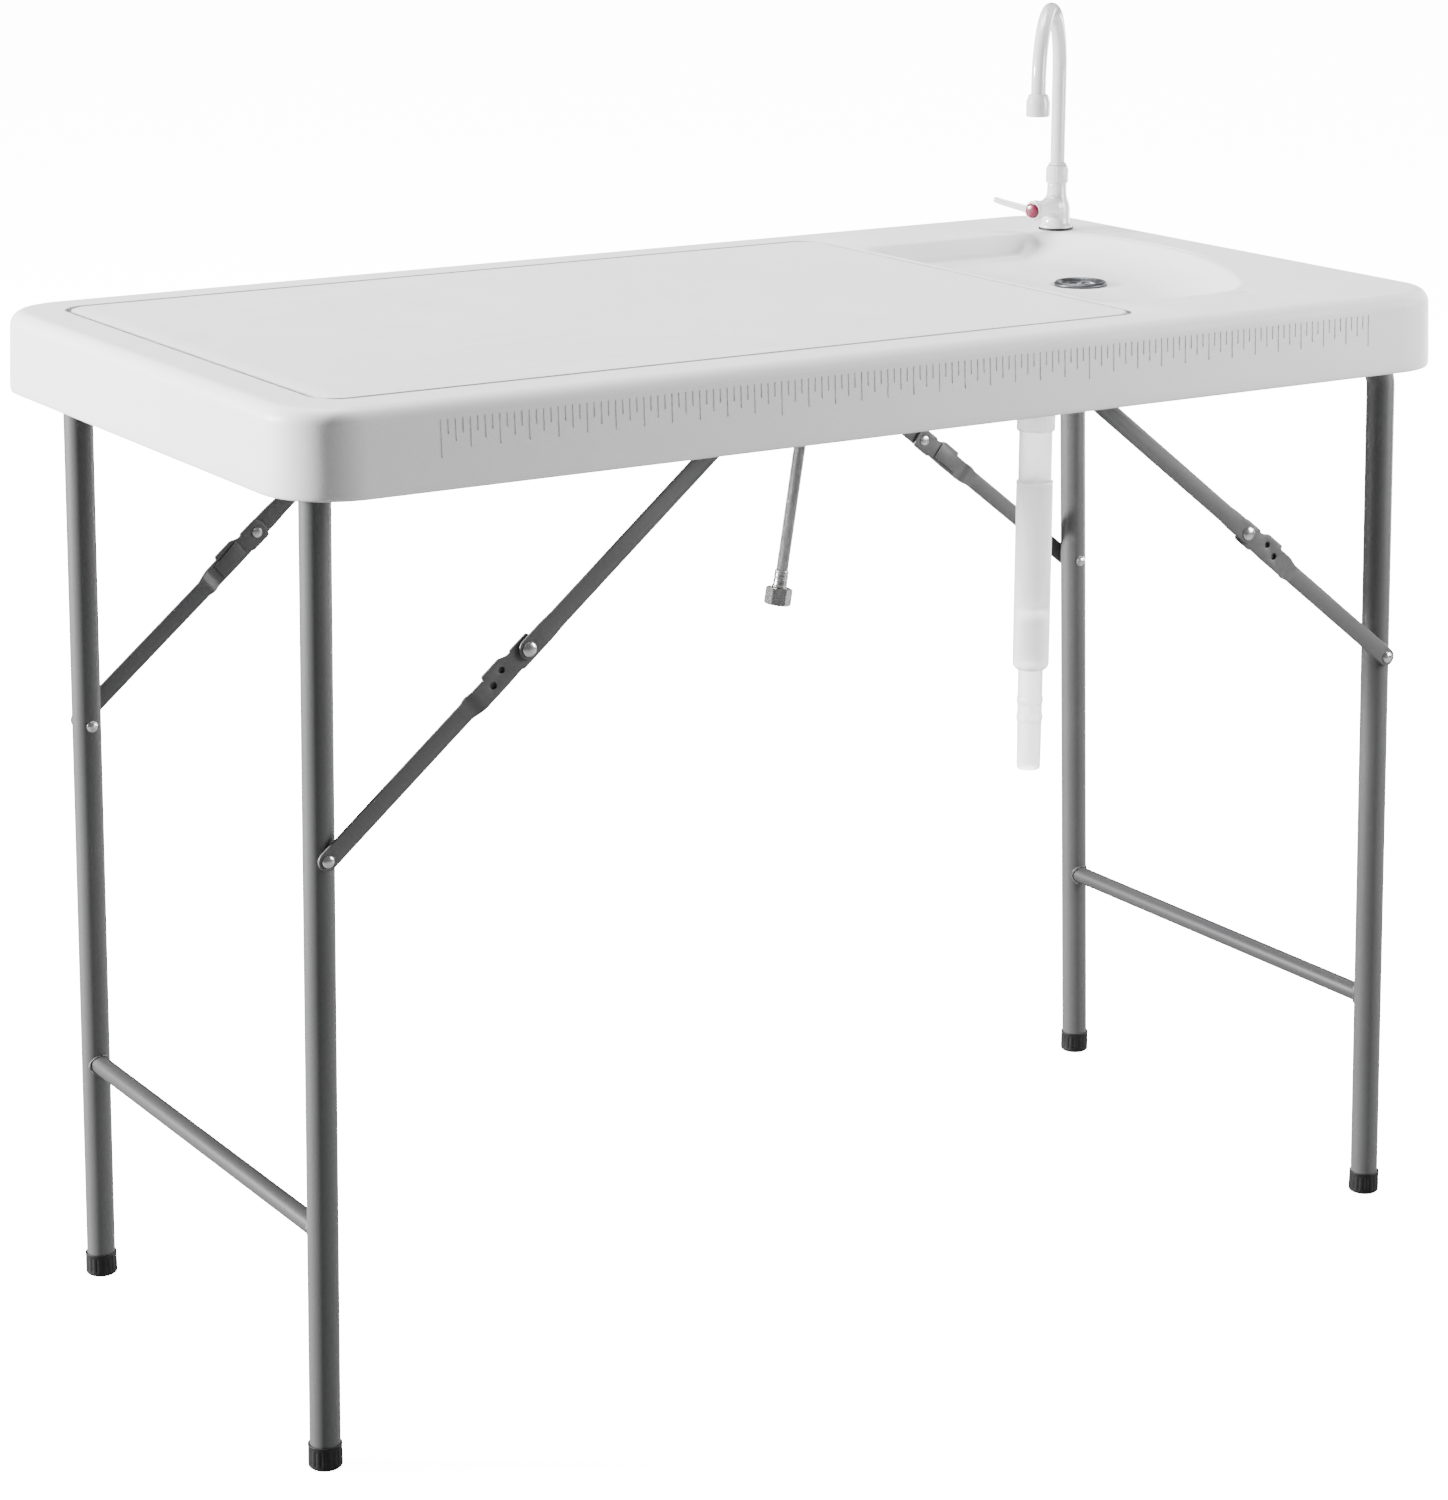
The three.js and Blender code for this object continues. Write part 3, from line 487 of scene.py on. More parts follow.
def loop_offset(L, d):
    """Closed loop moved to its left by d (inwards for an anticlockwise loop)."""
    A = np.array(L, float)
    a, b = A - np.roll(A, 1, 0), np.roll(A, -1, 0) - A
    a /= np.maximum(np.linalg.norm(a, axis=1, keepdims=True), 1e-9)
    b /= np.maximum(np.linalg.norm(b, axis=1, keepdims=True), 1e-9)
    na, nb = np.stack([-a[:, 1], a[:, 0]], 1), np.stack([-b[:, 1], b[:, 0]], 1)
    m = na + nb
    m /= np.maximum(np.linalg.norm(m, axis=1, keepdims=True), 1e-9)
    k = 1 / np.maximum((m * na).sum(1, keepdims=True), 0.5)
    return A + m * k * d


def strip(m, rings, closed=True, mat=0):
    """Quads between successive rings of 3-D points."""
    n = len(rings[0])
    k = len(m.v)
    for R in rings:
        m.v.extend([tuple(map(float, p)) for p in R])
    for j in range(len(rings) - 1):
        for i in range(n if closed else n - 1):
            i2 = (i + 1) % n
            m.f.append((k + j * n + i, k + j * n + i2, k + (j + 1) * n + i2, k + (j + 1) * n + i))
            m.mi.append(mat)
    return m


def prism(outline, holes=(), z0=0.0, z1=1.0, bevel=0.4, steps=2, lines=(), mat=0, bevel0=None):
    """Plate with rounded edges; outline anticlockwise, holes anticlockwise too."""
    m = Mesh()
    b0 = bevel if bevel0 is None else bevel0
    top, bottom = [], []
    for L, sgn in [(outline, 1)] + [(h, -1) for h in holes]:
        rings, up = [], []
        for k in range(steps + 1):
            t = math.pi / 2 * k / steps
            rings.append([(x, y, z0 + b0 * (1 - math.cos(t))) for x, y in loop_offset(L, sgn * b0 * (1 - math.sin(t)))])
            up.append([(x, y, z1 - bevel * (1 - math.sin(t))) for x, y in loop_offset(L, sgn * bevel * (1 - math.cos(t)))])
        bottom.append([p[:2] for p in rings[0]])
        top.append([p[:2] for p in up[-1]])
        strip(m, rings + up, mat=mat)
    for loops, z in ((bottom, z0), (top, z1)):
        P, T = fill(loops, lines)
        m.add([(x, y, z) for x, y in P], [tuple(t) for t in T], mat)
    return m


def curve_frames(path):
    P = np.array(path, float)
    d = np.diff(P, axis=0)
    d /= np.maximum(np.linalg.norm(d, axis=1, keepdims=True), 1e-9)
    T = np.vstack([d[:1], (d[:-1] + d[1:]), d[-1:]])
    T /= np.linalg.norm(T, axis=1, keepdims=True)
    u = np.cross(T[0], (0, 1, 0) if abs(T[0][1]) < 0.9 else (1, 0, 0))
    u /= np.linalg.norm(u)
    U = []
    for t in T:
        u = u - t * (u @ t)
        u /= np.linalg.norm(u)
        U.append(u.copy())
    U = np.array(U)
    return P, T, U, np.cross(T, U)


def sweep(path, radius, sides=32, bore=0.0, mat=0, caps=True):
    """Round tube along a path; radius is a number or one per station."""
    P, T, U, W = curve_frames(path)
    n = len(P)
    R = np.full(n, float(radius)) if np.isscalar(radius) else np.array(radius, float)
    ang = np.linspace(0, 2 * math.pi, sides, endpoint=False)
    c, s = np.cos(ang), np.sin(ang)

    def rings(rad):
        return [P[i] + rad[i] * (np.outer(c, U[i]) + np.outer(s, W[i])) for i in range(n)]
    m = Mesh()
    out = rings(R)
    if bore:
        inn = rings(np.full(n, float(bore)))
        strip(m, [inn[0]] + out + inn[::-1], mat=mat)
    else:
        strip(m, out, mat=mat)
        if caps:
            k = len(m.v)
            m.v.extend([tuple(P[0]), tuple(P[-1])])
            for i in range(sides):
                m.f.append((i, (i + 1) % sides, k))
                m.f.append(((n - 1) * sides + i, (n - 1) * sides + (i + 1) % sides, k + 1))
                m.mi.extend([mat, mat])
    return m


def smooth_path(points, per=8, closed=False):
    """Catmull-Rom through the points."""
    P = np.array(points, float)
    n = len(P)
    out = []
    for i in range(n if closed else n - 1):
        if closed:
            p0, p1, p2, p3 = P[i - 1], P[i], P[(i + 1) % n], P[(i + 2) % n]
        else:
            p1, p2 = P[i], P[i + 1]
            p0 = P[i - 1] if i else 2 * p1 - p2
            p3 = P[i + 2] if i + 2 < n else 2 * p2 - p1
        # centripetal spacing keeps uneven points from overshooting
        t01, t12, t23 = (max(np.linalg.norm(b - a), 1e-6) ** 0.5 for a, b in ((p0, p1), (p1, p2), (p2, p3)))
        m1 = (p2 - p1) + t12 * ((p1 - p0) / t01 - (p2 - p0) / (t01 + t12))
        m2 = (p2 - p1) + t12 * ((p3 - p2) / t23 - (p3 - p1) / (t12 + t23))
        for k in range(per):
            t = k / per
            out.append((2 * t ** 3 - 3 * t * t + 1) * p1 + (t ** 3 - 2 * t * t + t) * m1 + (3 * t * t - 2 * t ** 3) * p2 + (t ** 3 - t * t) * m2)
    if not closed:
        out.append(P[-1])
    return np.array(out)


def circle(cx, cy, r, n, a0=0.0):
    return [(cx + r * math.cos(a0 + 2 * math.pi * i / n), cy + r * math.sin(a0 + 2 * math.pi * i / n)) for i in range(n)]


def hex_nut(flats, z0, z1, bore, chamfer=1.0, n=72):
    """Hexagon with chamfered corners and a countersunk bore."""
    def hexr(t):
        q = (t + math.pi / 6) % (math.pi / 3) - math.pi / 6
        return flats / 2 / math.cos(q)
    rc = flats / 2 * 1.02
    rings = []
    ang = [2 * math.pi * i / n for i in range(n)]
    k = 0.58

    def ring(fr, fz):
        return [(fr(t) * math.cos(t), fr(t) * math.sin(t), fz(t)) for t in ang]
    drop = lambda t: max(0.0, hexr(t) - rc) * k + 0.12
    rings.append(ring(lambda t: bore, lambda t: z0 + chamfer))
    rings.append(ring(lambda t: bore + chamfer, lambda t: z0))
    rings.append(ring(lambda t: rc - 0.2, lambda t: z0))
    rings.append(ring(hexr, lambda t: z0 + drop(t)))
    rings.append(ring(hexr, lambda t: z1 - drop(t)))
    rings.append(ring(lambda t: rc - 0.2, lambda t: z1))
    rings.append(ring(lambda t: bore + chamfer, lambda t: z1))
    rings.append(ring(lambda t: bore, lambda t: z1 - chamfer))
    rings.append(rings[0])
    return strip(Mesh(), rings)


# ------------------------------------------------- supply hose (a free cord)
def hose_route():
    R1, zA, R2, R3, zc, xc = 55.0, 772.0, 60.0, 70.0, 861.5, 300.0
    g = 1.1
    for _ in range(60):
        g = math.atan2(zc - R2 * (1 - math.cos(g)) - (zA - R1 * math.cos(g)), FX - R1 - R1 * math.sin(g) - (xc + R2 * math.sin(g)))
    xz = [(FX, 799.2), (FX, 786.0), (FX, zA)]
    for i in range(1, 12):
        t = (math.pi / 2 + g) * i / 11
        xz.append((FX - R1 + R1 * math.cos(t), zA - R1 * math.sin(t)))
    xz.append(((FX - R1 - R1 * math.sin(g) + xc + R2 * math.sin(g)) / 2, (zA - R1 * math.cos(g) + zc - R2 * (1 - math.cos(g))) / 2))
    for i in range(7):
        t = g * (1 - i / 6)
        xz.append((xc + R2 * math.sin(t), zc - R2 * (1 - math.cos(t))))
    turn = math.radians(80.65)
    for i in range(8):
        t = turn * i / 7
        xz.append((xc - 8 - R3 * math.sin(t), zc - R3 * (1 - math.cos(t))))
    xe, ze = xz[-1]
    ux, uz = -math.cos(turn), -math.sin(turn)
    run = (ze - 575.5) / -uz
    for i in range(1, 7):
        xz.append((xe + ux * run * i / 6, ze + uz * run * i / 6))
    out = []
    for x, z in xz:
        t = min(max((FX - x) / 110, 0), 1)
        out.append((x, FY + (205 - FY) * t * t * (3 - 2 * t), z))
    return out


ROUTE = hose_route()
fine = smooth_path(ROUTE, 10)
seg = np.linalg.norm(np.diff(fine, axis=0), axis=1)
arc_len = np.concatenate([[0], np.cumsum(seg)])
HOSE_LEN = float(arc_len[-1])


def along_hose(step):
    n = max(2, int(round(HOSE_LEN / step)))
    s_ = np.linspace(0, HOSE_LEN, n + 1)
    return s_, np.stack([np.interp(s_, arc_len, fine[:, i]) for i in range(3)], 1)


def woven(s_, path, core, lift, width, carriers, pitch):
    """Flat ribbons wound both ways over a core, passing over and under each other."""
    P, T, U, W = curve_frames(path)
    m = Mesh()
    n = len(P)
    for hand in (1, -1):
        for c in range(carriers):
            phase = 2 * math.pi * c / carriers
            theta = phase + hand * 2 * math.pi * s_ / pitch
            # crossings: both families share the spacing 2*pi/carriers
            over = np.sin(carriers * (2 * math.pi * s_ / pitch) + (0 if hand > 0 else math.pi) + math.pi * c)
            rad = core + lift * (0.5 + 0.5 * over)
            half = width / 2
            cosb = pitch / math.hypot(pitch, 2 * math.pi * core)
            rows_, uvs = [], []
            for k, off in enumerate((-1, 0, 1)):
                th = theta + off * half / core / max(cosb, 0.3) * 0.72
                r = rad + (0.16 if off == 0 else 0)
                rows_.append(P + r[:, None] * (np.cos(th)[:, None] * U + np.sin(th)[:, None] * W))
            k0 = len(m.v)
            for R in rows_:
                m.v.extend([tuple(p) for p in R])
            for a in range(2):
                for i in range(n - 1):
                    j = len(m.f)
                    m.f.append((k0 + a * n + i, k0 + a * n + i + 1, k0 + (a + 1) * n + i + 1, k0 + (a + 1) * n + i))
                    m.mi.append(0)
                    v0, v1 = s_[i] / 3, s_[i + 1] / 3
                    m.uv[j] = [(a / 2, v0), (a / 2, v1), ((a + 1) / 2, v1), ((a + 1) / 2, v0)]
    return m


s_, path_ = along_hose(1.12)
hose_mesh = Mesh()
hose_mesh.join(woven(s_, path_, 5.42, 0.42, 2.1, 12, 27.0))
core_s, core_path = along_hose(5.0)
hose_mesh.join(sweep(core_path, 5.3, 24), mat=1)
hose = put("supply_hose_braided", hose_mesh, [BRAID, CORE], "root", ["supply_hose"], sharp=60, weld=0, flip=False)

end, before = Vector(ROUTE[-1]), Vector(ROUTE[-2])
out_dir = (end - before).normalized()
turn_end = Matrix.Translation(end) @ Vector((0, 0, -1)).rotation_difference(out_dir).to_matrix().to_4x4()
ferrule = lathe(rounded([(0, -17.3), (7.6, -17.3), (7.6, -15.6), (6.9, -14.9), (6.9, -9.8), (6.45, -9.4), (6.45, -8.6), (6.9, -8.2), (6.9, -4.6), (6.45, -4.2), (6.45, -3.4), (6.9, -3.0), (6.9, -1.4), (6.4, -0.2), (0, -0.2)],
                        [0, .3, .3, .5, .3, .3, .3, .3, .3, .3, .3, .3, .5, .4, 0], 3), 48, closed=False)
ferrule_ob = put("hose_ferrule_crimped", ferrule.moved(turn_end), NICKEL, "root", ["hose_ferrule"])
nut = hex_nut(22.8, -34.4, -17.6, 8.6, 0.9)
nut.join(lathe(rounded([(0, -20.5), (8.5, -20.5), (8.5, -19.0), (0, -19.0)], 0), 40, closed=False), mat=1)
for k in range(9):
    z = -33.2 + 1.35 * k
    nut.join(lathe([(8.6, z), (8.05, z + 0.45), (8.6, z + 0.9)], 40, closed=False))
nut_ob = put("hose_nut_hex", nut.moved(turn_end), [NICKEL, RUBBER], "root", ["hose_nut"], sharp=25)
coupling = lathe(rounded([(0, 799.5), (6.5, 799.5), (7, 801), (7, 806), (7.6, 806.6), (7.6, 812), (7, 812.6), (7, 814.6), (11.9, 814.6)], 0.3, 2), 48, closed=False)
coupling.join(hex_nut(24.2, 814.6, 836.0, 10.2, 0.8))
coupling.join(lathe(rounded([(10.2, 835), (11.6, 836), (11.6, 837.2), (0, 837.2)], 0.2, 2), 40, closed=False))
put("hose_coupling_nut", coupling.moved(Matrix.Translation((FX, FY, 0))), NICKEL, "root", ["hose_coupling"], sharp=28)


# --------------------------------------------------------------- tabletop
def tabletop():
    m = Mesh()
    # perimeter columns: corners in arcs, the front side with four columns per mark
    ticks = []
    for i in range(145):
        if i == 0:
            h = 29.0
        elif i % 48 == 0:
            h = 27.0
        elif i % 4 == 0:
            h = 23.0
        elif i % 2 == 0:
            h = 17.5
        else:
            h = 11.5
        ticks.append((-448.3 + 6.35 * i, h))
    cols = []                       # (corner centre or None, angle or (x, y) on the outer line, mark height, depth)
    r = CORNER_R
    ax, ay = HX - r, HY - r

    def corner(cx, cy, a0, n=22):
        for k in range(n + 1):
            t = a0 + math.pi / 2 * k / n
            cols.append((cx, cy, math.cos(t), math.sin(t), 0.0, 0.0))

    def side(x0, y0, x1, y1, nx, ny, n):
        for k in range(1, n):
            q = k / n
            cols.append((x0 + (x1 - x0) * q, y0 + (y1 - y0) * q, nx, ny, 0.0, 0.0))
    corner(ax, ay, 0)
    side(ax, ay, -ax, ay, 0, 1, 16)
    corner(-ax, ay, math.pi / 2)
    side(-ax, ay, -ax, -ay, -1, 0, 8)
    corner(-ax, -ay, math.pi)
    cols.append((-ax + 25, -ay, 0, -1, 0.0, 0.0))
    for x, h in ticks:
        for dx, d in ((-0.78, 0.0), (-0.5, 1.0), (0.5, 1.0), (0.78, 0.0)):
            cols.append((x + dx, -ay, 0, -1, h, d))
    cols.append((ax - 14, -ay, 0, -1, 0.0, 0.0))
    corner(ax, -ay, 1.5 * math.pi)
    side(ax, -ay, ax, ay, 1, 0, 8)
    C = np.array(cols)
    draft = lambda z: DRAFT * (z - SKIRT_Z) / (TOP_Z - SKIRT_Z)
    prof = [(draft(TOP_Z) + EDGE_R + 3.0, TOP_Z, None)]
    for k in range(13):
        t = math.pi / 2 * (1 - k / 12)
        z = TOP_Z - EDGE_R + EDGE_R * math.sin(t)
        prof.append((draft(z) + EDGE_R * (1 - math.cos(t)), z, None))
    top_tick = 868.4
    zs = [(top_tick + 0.2, None), (top_tick, 0.0)]
    for h in (11.5, 17.5, 23.0, 27.0, 29.0):
        zs += [(top_tick - h + 0.2, h), (top_tick - h, h + 0.01)]
    for z, need in zs:
        prof.append((draft(z), z, need))
    for z in (832.0, 822.0, 818.5):
        prof.append((max(draft(z), 0.45), z, None))
    prof += [(0.5, 816.4, None), (0.8, 815.2, None), (1.3, 814.4, None), (2.2, 814.0, None), (3.6, 814.0, None), (4.3, 814.4, None), (4.8, 815.4, None),
             (5.0, 817.0, None), (5 + draft(845), 845.0, None), (5 + draft(866), 866.0, None)]
    for k in range(7):
        t = math.pi / 2 * k / 6
        prof.append((5 + draft(868) + 9 * (1 - math.cos(t)), 868 + 9 * math.sin(t), None))
    prof.append((5 + draft(868) + 12, 877.0, None))
    rings = []
    for inset, z, need in prof:
        dep = np.zeros(len(C))
        if need is not None:
            dep = np.where((C[:, 4] >= need - 1e-6) & (C[:, 4] > 0), C[:, 5] * 0.62, 0.0)
        R = r - inset - dep
        rings.append(np.stack([C[:, 0] + C[:, 2] * R, C[:, 1] + C[:, 3] * R, np.full(len(C), z)], 1))
    strip(m, rings)
    outer_top = [tuple(p[:2]) for p in rings[0]]
    outer_under = [tuple(p[:2]) for p in rings[-1]]

    # groove round the work panel: cross-section swept along a rounded rectangle
    gx0, gx1, gy, gr = -522.0, 250.0, 256.5, 24.0

    def rrect(d, n=14, flat=20):
        """d outwards from the middle line of the groove; anticlockwise"""
        out = []
        x0, x1, y, rr = gx0 - d, gx1 + d, gy + d, gr + d
        for cx, cy, a0 in ((x1 - rr, y - rr, 0), (x0 + rr, y - rr, 1), (x0 + rr, -y + rr, 2), (x1 - rr, -y + rr, 3)):
            for k in range(n + 1):
                t = math.pi / 2 * (a0 + k / n)
                out.append((cx + rr * math.cos(t), cy + rr * math.sin(t)))
        return out
    half = [(4.6, 0.0), (2.95, 0.0), (2.8, -0.03), (2.68, -0.13), (2.6, -0.45), (2.5, -1.8), (2.35, -3.1), (1.9, -3.75), (1.0, -3.95)]
    section = half + [(0, -4.0)] + [(-d, z) for d, z in half[::-1]]
    g_nx = [math.cos(math.pi / 2 * (a0 + k / 14)) for a0 in (0, 1, 2, 3) for k in range(15)]
    g_rings = []
    for d, dz in section:
        ramp = 0.45 * min(max((4.6 - abs(d)) / 1.65, 0), 1)
        g_rings.append([(x, y, TOP_Z + min(dz, -ramp * max(0.0, math.copysign(1, d) * nx))) for (x, y), nx in zip(rrect(d), g_nx)])
    first, count = len(m.f), len(g_rings[0])
    strip(m, g_rings)
    # faces deeper than 0.1 mm in the groove get material 1, the half-bright copy of the plastic: painted shade
    for j in range(len(section) - 1):
        if min(section[j][1], section[j + 1][1]) < -0.1:
            m.mi[first + j * count:first + (j + 1) * count] = [1] * count
    g_out, g_in = [p[:2] for p in g_rings[0]], [p[:2] for p in g_rings[-1]]

    # sink: rim outline with the inward run of the side below each point
    RIM = [(259, -188, 5, 5), (259, -140, 5, 0), (259, -90, 5, 0), (259, -40, 5, 0), (259, 10, 5, 0), (259, 60, 5, 0), (259, 110, 5, 0), (259, 150, 5, 0), (259.6, 171, 5, -1), (264.5, 182, 4.5, -4.5), (276, 187, 1, -5),
           (300, 187, 0, -5), (345, 187, 0, -5), (390, 187, -1, -5.5), (436, 186, -8, -8), (462, 181, -30, -16), (481, 170, -58, -24), (494, 151, -66, -26),
           (504, 122, -70, -22), (509, 85, -72, -14), (509, 45, -74, -6), (505, 3, -74, 4), (491, -52, -72, 16), (468, -106, -66, 30),
           (446, -148, -54, 42), (424, -178, -38, 50), (400, -197, -24, 52), (370, -205, -12, 52), (330, -206, -2, 50), (290, -205, 4, 44), (268, -200, 6, 24)]
    A = smooth_path([(x, y, 0) for x, y, _, _ in RIM], 7, closed=True)
    B = smooth_path([(dx, dy, 0) for _, _, dx, dy in RIM], 7, closed=True)
    rim, runv = A[:, :2], B[:, :2]
    L = np.linalg.norm(runv, axis=1)
    nrm = runv / L[:, None]
    # narrow sides: a wall with a rounded brim and a filleted foot; wide sides: a long cove
    M = 26
    q = np.linspace(0, 1, M)

    def resample(pts):
        P = np.array(pts, float)
        s2 = np.concatenate([[0], np.cumsum(np.linalg.norm(np.diff(P, axis=0), axis=1))])
        s2 /= s2[-1]
        return np.stack([np.interp(q, s2, P[:, 0]), np.interp(q, s2, P[:, 1])], 1)
    narrow = resample(rounded([(-2.4, 0), (0.9, 0), (3.6, -20), (16, -20)], [0, 2.4, 7.5, 0], 7))
    rings = []
    sink_rings = np.zeros((M, len(rim), 3))
    for i in range(len(rim)):
        run = max(L[i], 12.0)
        cove = [(-2.4, 0), (-0.8, -0.0)] + [(h * run, -20 * (1 - (1 - h) ** 2)) for h in np.linspace(0, 1, 24)] + [(run + 4, -20)]
        cove = np.array(cove)
        cove[2, 1] -= 0.15
        wide = resample(cove)
        w = min(max((L[i] - 9) / 26, 0), 1)
        w = w * w * (3 - 2 * w)
        pr = narrow * (1 - w) + wide * w
        sink_rings[:, i, :2] = rim[i] + nrm[i] * pr[:, :1]
        sink_rings[:, i, 2] = TOP_Z + pr[:, 1]
    strip(m, list(sink_rings))
    line_w = np.clip((L - 14) / 20, 0, 1) * np.clip((rim[:, 1] + 70) / 60, 0, 1)
    line_w = line_w * line_w * (3 - 2 * line_w)
    brim = sink_rings[0, :, :2]
    guard = brim - nrm * (1.2 + 3.4 * line_w)[:, None]
    rim_guard = [tuple(p) for p in guard]
    floor_in = [tuple(p) for p in sink_rings[-1, :, :2]]
    line = []
    for f, dz in ((0, 0), (0.2, 0), (0.25, -0.4), (0.28, -2.2), (0.45, -2.6), (0.68, -2.2), (0.74, -0.35), (0.8, 0), (1, 0)):
        line.append(np.column_stack([guard + (brim - guard) * f, TOP_Z + dz * line_w]))
    strip(m, line)
    return m, outer_top, outer_under, g_out, g_in, rim_guard, floor_in, sink_rings


top_mesh, outer_top, outer_under, g_out, g_in, rim_guard, floor_in, sink_rings = tabletop()


def finish_top(m):
    # flat areas of the top
    hole = circle(FX, FY, 13.0, 40)
    def notch(k, z):
        return [(398 + 14 * k * math.cos(a), -215 + 6 * k * math.sin(a), z) for a in np.linspace(0, 2 * math.pi, 41)[:-1]]
    dish = [notch(k, TOP_Z + dz) for k, dz in ((1, 0), (0.93, -0.1), (0.84, -0.5), (0.66, -1.2), (0.45, -1.55), (0.22, -1.7), (0.03, -1.7))]
    strip(m, dish)
    P, T = fill([outer_top, g_out, [tuple(p) for p in rim_guard], hole, [p[:2] for p in dish[0]]])
    m.add([(x, y, TOP_Z) for x, y in P], [tuple(t) for t in T])
    P, T = fill([g_in])
    m.add([(x, y, TOP_Z) for x, y in P], [tuple(t) for t in T])
    dh = circle(DRAIN_X, 0, 30.0, 64)
    P, T = fill([floor_in, dh])
    m.add([(x, y, SINK_Z) for x, y in P], [tuple(t) for t in T])
    # drain seat and hole, faucet hole
    strip(m, [[(x, y, z) for x, y in circle(DRAIN_X, 0, r, 64)] for r, z in ((30, SINK_Z), (28.5, SINK_Z), (27.6, SINK_Z - 0.25), (26.8, SINK_Z - 0.7), (18.0, SINK_Z - 0.7), (17.2, SINK_Z - 1.1), (17, SINK_Z - 2), (17, SINK_Z - 6), (30, SINK_Z - 6))])
    strip(m, [[(x, y, z) for x, y in circle(FX, FY, r, 40)] for r, z in ((13, TOP_Z), (11.8, TOP_Z), (11.2, TOP_Z - 0.3), (11, TOP_Z - 1), (11, 877.0), (13, 877.0))])
    # underside of the sink: the basin moved outwards by the wall thickness
    n = sink_rings.shape[1]
    K = 18
    under = np.zeros((K, n, 3))
    for i in range(n):
        S = sink_rings[:, i]
        d = S[-1, :2] - S[0, :2]
        d = d / np.linalg.norm(d)
        h = (S[:, :2] - S[0, :2]) @ d
        z = S[:, 2]
        t = np.gradient(np.stack([h, z], 1), axis=0)
        t /= np.maximum(np.linalg.norm(t, axis=1, keepdims=True), 1e-9)
        o = np.stack([h + 6 * t[:, 1], z - 6 * t[:, 0]], 1)
        o = o[o[:, 1] < 875.6]
        o = np.vstack([[o[0, 0] - 1.6, 877.0], [o[0, 0] - 0.6, 876.4], o])
        s2 = np.concatenate([[0], np.cumsum(np.linalg.norm(np.diff(o, axis=0), axis=1))])
        q = np.linspace(0, s2[-1], K)
        hh, zz = np.interp(q, s2, o[:, 0]), np.interp(q, s2, o[:, 1])
        under[:, i, :2] = S[0, :2] + d * hh[:, None]
        under[:, i, 2] = zz
    strip(m, list(under))
    under_rim = [tuple(p) for p in under[0, :, :2]]
    guard = loop_offset(under_rim, -1.5)
    strip(m, [np.column_stack([guard, np.full(n, 877.0)]), under[0]])
    under_floor = [tuple(p) for p in under[-1, :, :2]]
    P, T = fill([under_floor, circle(DRAIN_X, 0, 30.0, 64)])
    m.add([(x, y, SINK_Z - 6) for x, y in P], [tuple(t) for t in T])
    # underside of the panel with its rows of shallow tack-offs
    dimples = []
    for j in range(-4, 5):
        for i in range(-9, 9):
            x, y = 62.0 * i + (31.0 if j % 2 else 0.0) + 8, 57.0 * j
            if abs(x) > 520 or abs(y) > 232:
                continue
            near = min(math.hypot(x - a[0], y - a[1]) for a in guard)
            if inside((x, y), [[tuple(g) for g in guard]]) or near < 20 or math.hypot(x - FX, y - FY) < 34:
                continue
            dimples.append((x, y))
    loops = [outer_under, [tuple(g) for g in guard], circle(FX, FY, 13.0, 40)]
    for x, y in dimples:
        strip(m, [[(px, py, z) for px, py in circle(x, y, r, 24)] for r, z in ((12.4, 877.0), (11.4, 877.0), (10.6, 877.2), (9.8, 877.9), (8.6, 879.5), (7.8, 880.1), (6.6, 880.4), (0.4, 880.5))])
        loops.append(circle(x, y, 12.4, 24))
    P, T = fill(loops)
    m.add([(x, y, 877.0) for x, y in P], [tuple(t) for t in T])


finish_top(top_mesh)
put("tabletop_moulded", top_mesh, [HDPE, HDPE_GROOVE_PAINTED_SHADE], "root", ["tabletop", "tabletop_skirt", "sink_bowl"], sharp=50, weld=0.01)


# -------------------------------------------------------------- side rails
def screw_head(r=4.6, h=1.9):
    """Pan head with a cross recess, seat at z 0, head up."""
    head = lathe(rounded([(0, 0), (r, 0), (r, 0.5), (r * 0.82, h * 0.82), (r * 0.45, h), (1.6, h), (1.2, h - 0.9), (0, h - 1.0)], [0, .15, .3, .5, .4, .1, .1, 0], 3), 32, closed=False)
    for k in range(2):
        c, s_ = math.cos(k * math.pi / 2), math.sin(k * math.pi / 2)
        bar = [(-2.4, -0.35), (2.4, -0.35), (2.4, 0.35), (-2.4, 0.35)]
        ring0 = [(x * c - y * s_, x * s_ + y * c, h + 0.02) for x, y in bar]
        ring1 = [(x * 0.6 * c - y * s_, x * 0.6 * s_ + y * c, h - 0.5) for x, y in bar]
        strip(head, [ring0, ring1], mat=1)
        k0 = len(head.v)
        head.add(ring1, [(0, 1, 2, 3)], 1)
    return head


